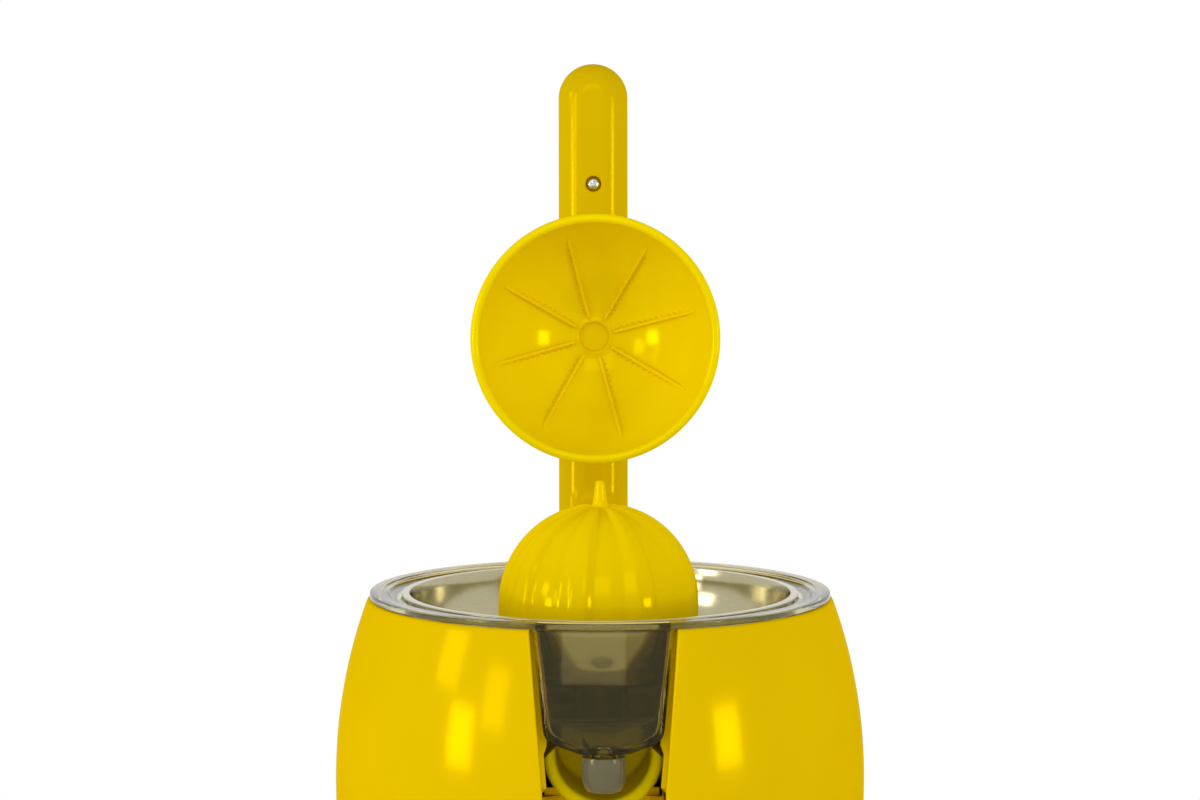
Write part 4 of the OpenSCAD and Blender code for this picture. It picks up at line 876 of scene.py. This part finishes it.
def make_arm_inner():
    """The arm's front half with the cup's two lugs and the screws' seats."""
    base = solid("arm_inner_base", arm_half(-1))
    steps = [("DIFFERENCE", solid("knuckle_space", bar(11.1, 30, HINGE_Y, HINGE_Z, 96)))]
    for side in (-1, 1):
        low, high = side * 6.4, side * 11.4
        x0, x1 = min(low, high), max(low, high)
        lug = block((x0, -LUG_R, CUP_PIN_Z), (x1, LUG_R, ARM_LEVEL - END_R + 2.4))
        steps.append(("UNION", solid("lug", lug)))
        rows = []
        for i in range(40):
            a = TAU * i / 40
            rows.append([(x, r * math.cos(a), CUP_PIN_Z + r * math.sin(a))
                         for r, x in ((0, x0), (LUG_R, x0), (LUG_R, x1), (0, x1))])
        steps.append(("UNION", solid("lug_end", loft(rows, around=True))))
    steps.append(("DIFFERENCE", solid("pin_hole", bar(2.0, 20, 0, CUP_PIN_Z, 40))))
    low = ARM_LEVEL - END_R
    for y in SCREW_ROWS:
        steps.append(("UNION", solid("boss", rod(5, low + 1.2, ARM_LEVEL, (0, y), 40))))
        seat = [(0, low - 2), (4.1, low - 2), (3.9, low + 0.1), (3.4, low + 0.5), (3.4, low + 2.7),
                (3.1, low + 3.0), (0, low + 3.0)]
        steps.append(("DIFFERENCE", solid("seat", lathe(seat, 64, (0, y)))))
        steps.append(("DIFFERENCE", solid("hole", rod(SCREW_R, low, ARM_LEVEL + 2, (0, y), 24))))
    return combine(base, steps)


# Repeats: a unit mesh at every point of a cloud
def repeat_tree():
    """Geometry Nodes: Unit at each point, each turned about Z by Start and one Fan more than the last."""
    tree = bpy.data.node_groups.new("repeat_at_points", "GeometryNodeTree")
    sockets = {}
    for label, kind in (("Points", "NodeSocketGeometry"), ("Unit", "NodeSocketObject"),
                        ("Fan", "NodeSocketFloat"), ("Start", "NodeSocketFloat"),
                        ("Size", "NodeSocketFloat"), ("Finish", "NodeSocketMaterial")):
        sockets[label] = tree.interface.new_socket(label, in_out="INPUT", socket_type=kind)
    tree.interface.new_socket("Mesh", in_out="OUTPUT", socket_type="NodeSocketGeometry")
    nodes, links = tree.nodes, tree.links
    given = nodes.new("NodeGroupInput")
    info = nodes.new("GeometryNodeObjectInfo")
    put = nodes.new("GeometryNodeInstanceOnPoints")
    real = nodes.new("GeometryNodeRealizeInstances")
    paint = nodes.new("GeometryNodeSetMaterial")
    result = nodes.new("NodeGroupOutput")
    links.new(given.outputs["Unit"], info.inputs["Object"])
    links.new(given.outputs["Points"], put.inputs["Points"])
    links.new(info.outputs["Geometry"], put.inputs["Instance"])
    count = nodes.new("GeometryNodeInputIndex")
    angle = nodes.new("ShaderNodeMath")
    angle.operation = "MULTIPLY_ADD"
    turn = nodes.new("ShaderNodeCombineXYZ")
    links.new(count.outputs["Index"], angle.inputs[0])
    links.new(given.outputs["Fan"], angle.inputs[1])
    links.new(given.outputs["Start"], angle.inputs[2])
    links.new(angle.outputs["Value"], turn.inputs["Z"])
    links.new(turn.outputs["Vector"], put.inputs["Rotation"])
    links.new(given.outputs["Size"], put.inputs["Scale"])
    links.new(put.outputs["Instances"], real.inputs["Geometry"])
    links.new(real.outputs["Geometry"], paint.inputs["Geometry"])
    links.new(given.outputs["Finish"], paint.inputs["Material"])
    links.new(paint.outputs["Geometry"], result.inputs["Mesh"])
    return tree, {label: item.identifier for label, item in sockets.items()}


REPEAT, REPEAT_KEYS = repeat_tree()


def repeated(name, unit, points, mat, body, replaces, fan=0.0, start=0.0, moved=raised):
    """unit's mesh at each point, in mm, moved point by point, as one plain mesh that rides on body."""
    cloud = bpy.data.meshes.new(name + "_points")
    cloud.from_pydata(points, [], [])
    carrier = bpy.data.objects.new(name + "_points", cloud)
    scene.collection.objects.link(carrier)
    unit_obj = solid(name + "_unit", unit)
    mod = carrier.modifiers.new("repeat", "NODES")
    mod.node_group = REPEAT
    mod[REPEAT_KEYS["Unit"]] = unit_obj
    mod[REPEAT_KEYS["Fan"]] = math.radians(fan)
    mod[REPEAT_KEYS["Start"]] = math.radians(start)
    mod[REPEAT_KEYS["Size"]] = 1.0
    mod[REPEAT_KEYS["Finish"]] = mat
    bpy.context.view_layer.update()
    mesh = bpy.data.meshes.new_from_object(carrier.evaluated_get(bpy.context.evaluated_depsgraph_get()))
    bpy.data.objects.remove(carrier)
    bpy.data.objects.remove(unit_obj)
    for v in mesh.vertices:
        v.co = place(moved(tuple(v.co)))
    return finish_piece(name, mesh, mat, body, replaces)


def body_of(node):
    """The name of the body that carries a CAD node."""
    return next(b for b, names in frame["record"]["behaviour"]["bodies"].items() if node in names)


def softened(node, width, mat, segs=2, sharp=30):
    """A copy of a CAD node with its edges rounded, in its node's place."""
    mesh = frame["nodes"][node].data.copy()
    bm = bmesh.new()
    bm.from_mesh(mesh)
    bmesh.ops.remove_doubles(bm, verts=bm.verts, dist=2e-6)
    bmesh.ops.dissolve_limit(bm, angle_limit=math.radians(1.0), verts=bm.verts, edges=bm.edges)
    bm.to_mesh(mesh)
    bm.free()
    obj = bpy.data.objects.new(node + "_soft", mesh)
    scene.collection.objects.link(obj)
    mod = obj.modifiers.new("edges", "BEVEL")
    mod.width = width
    mod.segments = segs
    mod.limit_method = "ANGLE"
    mod.angle_limit = math.radians(sharp)
    mod.use_clamp_overlap = True
    made = bpy.data.meshes.new_from_object(obj.evaluated_get(bpy.context.evaluated_depsgraph_get()))
    bpy.data.objects.remove(obj)
    made.polygons.foreach_set("use_smooth", [True] * len(made.polygons))
    made.set_sharp_from_angle(angle=math.radians(sharp))
    made.materials.clear()
    made.materials.append(mat)
    piece_obj = bpy.data.objects.new(node + "_finished", made)
    scene.collection.objects.link(piece_obj)
    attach(piece_obj, body_of(node))
    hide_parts(node)


def screw_head(head_r, head_h, shank_r, shank_l):
    """A pan-head screw that points down -Z, with a cross recess in its head."""
    profile = [(0, -shank_l), (shank_r * 0.6, -shank_l), (shank_r, -shank_l + 1), (shank_r, 0),
               (head_r - 0.1, 0), (head_r, 0.15)]
    profile += [(head_r * math.cos(a) if a else head_r, 0.15 + (head_h - 0.15) * math.sin(a)) for a in
                [math.pi / 2 * k / 7 for k in range(1, 7)]]
    profile += [(0, head_h)]
    base = solid("screw_base", lathe(profile, 40))
    steps = []
    for turned in (0, 1):
        w, l = 0.42 * head_r / 3.1, 1.75 * head_r / 3.1
        a, b = (l, w) if turned else (w, l)
        top, deep = head_h + 0.3, head_h - 1.3
        rows = [[(-a * k, -b * k, z), (a * k, -b * k, z), (a * k, b * k, z), (-a * k, b * k, z)]
                for k, z in ((0.45, deep), (1.0, top))]
        steps.append(("DIFFERENCE", solid("cross", loft(rows))))
    return combine(base, steps)


# The object's pieces
piece("body_wall", *make_body_shell(), YELLOW, "base", ["body_shell"], "yellow_plastic")
piece("clear_container", *make_container(), CLEAR, "container", ["juice_container"], "clear_plastic")
piece("fluted_reamer", *make_reamer(), REAMER_YELLOW_PAINTED_LIGHT, "reamer", ["reamer"], "yellow_plastic")
piece("scoop", *make_scoop(), SCOOP_YELLOW_PAINTED_LIGHT, "base", ["spout_cradle"], "yellow_plastic")
piece("spout_bulb", *make_spout(), CLOUDY, "spout", ["drip_spout"], "clear_plastic")
piece("arm_back_half", *make_arm_outer(), ARM_YELLOW_PAINTED_SHADE, "arm", ["arm_outer_shell"], "yellow_plastic",
      turned=raised)
piece("arm_front_half", *make_arm_inner(), ARM_YELLOW_PAINTED_SHADE, "arm", ["arm_inner_shell"], "yellow_plastic",
      turned=raised)
piece("sieve_sheet", *merged(lathe(make_sieve_profile(), 160), lathe(make_sieve_collar(), 96),
                             make_sieve_holes()),
      POLISHED_PAINTED_REFLECTION, "sieve", ["sieve"], "polished_steel")
piece("cup_bowl", *make_cup(), CUP_YELLOW_PAINTED_LIGHT, "cup", ["press_cup"], "yellow_plastic", turned=raised)
AXIS_POINTS = [(0, 0, 0)] * 4
repeated("cup_ribs_a", make_cup_rib(-1), AXIS_POINTS, CUP_YELLOW_PAINTED_LIGHT, "cup", ["press_cup"],
         fan=90, start=75)
repeated("cup_ribs_b", make_cup_rib(1), AXIS_POINTS, CUP_YELLOW_PAINTED_LIGHT, "cup", ["press_cup"],
         fan=90, start=30)


def arm_screw_spot(point):
    """An arm screw drawn head down at the lowered arm's underside, turned up with the arm."""
    return raised((point[0], point[1], ARM_LEVEL - END_R + 3.0 - point[2]))


repeated("arm_screw_heads", screw_head(3.1, 2.1, SCREW_R, 9), [(0, y, 0) for y in SCREW_ROWS], ZINC, "arm",
         ["arm_screws"], start=14, moved=arm_screw_spot)


# The standing and plain pieces keep the CAD's form, with every edge rounded
SOFT_EDGES = {
    "base_plate": 0.8, "feet": 0.8, "base_screws": 0.25, "inner_chassis": 0.4, "bay_liner": 0.5,
    "arm_bracket": 0.9, "bracket_screws": 0.25, "hinge_pin": 0.5, "cord_inlet": 0.5, "drip_tray": 0.6,
    "drip_grid": 0.5, "hinge_bushes": 0.3, "cup_pin": 0.4,
}
for part in frame["record"]["subparts"]:
    node, slot = part["node"], part["material_slot"]
    if node in SOFT_EDGES:
        softened(node, SOFT_EDGES[node] * MM, LOOKS[slot])

# The return spring, kept as a rigid copy of the CAD coil; the real one shortens as the spindle is pressed
# down
spring = frame["nodes"]["spindle_spring"]
coil = finish_piece("return_spring", spring.data.copy(), STEEL, body_of("spindle_spring"),
                    ["spindle_spring"])
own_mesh(coil)


# Floor, background and light
def stage_plane(name, size, z):
    mesh = bpy.data.meshes.new(name)
    corners = [(-size, -size, z), (size, -size, z), (size, size, z), (-size, size, z)]
    mesh.from_pydata(corners, [], [(0, 1, 2, 3)])
    obj = bpy.data.objects.new(name, mesh)
    scene.collection.objects.link(obj)
    return obj


FLOOR_HALF = 0.6
floor = stage_plane("floor", FLOOR_HALF, 0.0)
floor_mat, _, floor_bsdf = new_mat("pale_floor")
floor_bsdf.inputs["Base Color"].default_value = (0.82, 0.82, 0.82, 1)
floor_bsdf.inputs["Roughness"].default_value = 0.6
floor.data.materials.append(floor_mat)


def lamp(name, spot, target, size, power):
    """A rectangular area light at a spot, facing its target."""
    data = bpy.data.lights.new(name, "AREA")
    data.shape = "RECTANGLE"
    data.size, data.size_y = size
    data.energy = power
    obj = bpy.data.objects.new(name, data)
    obj.location = spot
    away = Vector(spot) - Vector(target)
    obj.rotation_euler = away.to_track_quat("Z", "Y").to_euler()
    scene.collection.objects.link(obj)


LAMP_DISTANCE, LAMP_AIM_Z = 2, 0.19


def window(name, azimuth, elevation, size, power):
    """A soft lamp 2 m from the body, at an angle round it from the front and above the level."""
    turn, lift = math.radians(azimuth), math.radians(elevation)
    spot = (LAMP_DISTANCE * math.sin(turn) * math.cos(lift),
            AXIS_Y - LAMP_DISTANCE * math.cos(turn) * math.cos(lift),
            LAMP_AIM_Z + LAMP_DISTANCE * math.sin(lift))
    lamp(name, spot, (0, AXIS_Y, LAMP_AIM_Z), size, power)


window("left_window", -62.6, 4.2, (0.41, 0.42), 5)
window("left_upper_window", -74, 18, (0.42, 0.42), 2.4)
window("left_near_window", -48, 13.6, (0.36, 0.46), 2.0)
window("right_window", 55, 5, (0.41, 0.42), 4.5)
window("front_fill", -4, 30, (1.0, 0.7), 3.0)

# The studio: brightest level with the object at its left and right, dimmer overhead and in front.
# The camera, reflections and clear pieces see it white.
MIDDLE_LEVEL, SIDE_GAIN, OVERHEAD_FALL = 0.82, 0.16, 0.5
world = bpy.data.worlds.new("studio")
world.use_nodes = True
scene.world = world
wt = world.node_tree
wt.nodes.clear()


def world_math(operation, *values):
    """A maths node of the world, with a number or a socket for each of its inputs."""
    node = wt.nodes.new("ShaderNodeMath")
    node.operation = operation
    for socket, value in zip(node.inputs, values):
        if isinstance(value, (int, float)):
            socket.default_value = value
        else:
            wt.links.new(value, socket)
    return node.outputs["Value"]


out = wt.nodes.new("ShaderNodeOutputWorld")
back = wt.nodes.new("ShaderNodeBackground")
path = wt.nodes.new("ShaderNodeLightPath")
mix = wt.nodes.new("ShaderNodeMix")
place_dir = wt.nodes.new("ShaderNodeTexCoord")
axes = wt.nodes.new("ShaderNodeSeparateXYZ")
wt.links.new(place_dir.outputs["Generated"], axes.inputs["Vector"])
across = world_math("ABSOLUTE", axes.outputs["X"])
height = world_math("MULTIPLY", axes.outputs["Z"], axes.outputs["Z"])
side_light = world_math("MULTIPLY_ADD", across, SIDE_GAIN, MIDDLE_LEVEL)
dim = world_math("MULTIPLY_ADD", height, -OVERHEAD_FALL, 1.0)
level = world_math("MULTIPLY", side_light, dim)
mix.data_type = "RGBA"
mix.inputs["B"].default_value = (1, 1, 1, 1)
wt.links.new(level, mix.inputs["A"])
seen = world_math("MAXIMUM", path.outputs["Is Camera Ray"], path.outputs["Is Glossy Ray"])
seen = world_math("MAXIMUM", seen, path.outputs["Is Transmission Ray"])
wt.links.new(seen, mix.inputs["Factor"])
wt.links.new(mix.outputs["Result"], back.inputs["Color"])
wt.links.new(back.outputs["Background"], out.inputs["Surface"])
scene.view_settings.view_transform = "Standard"
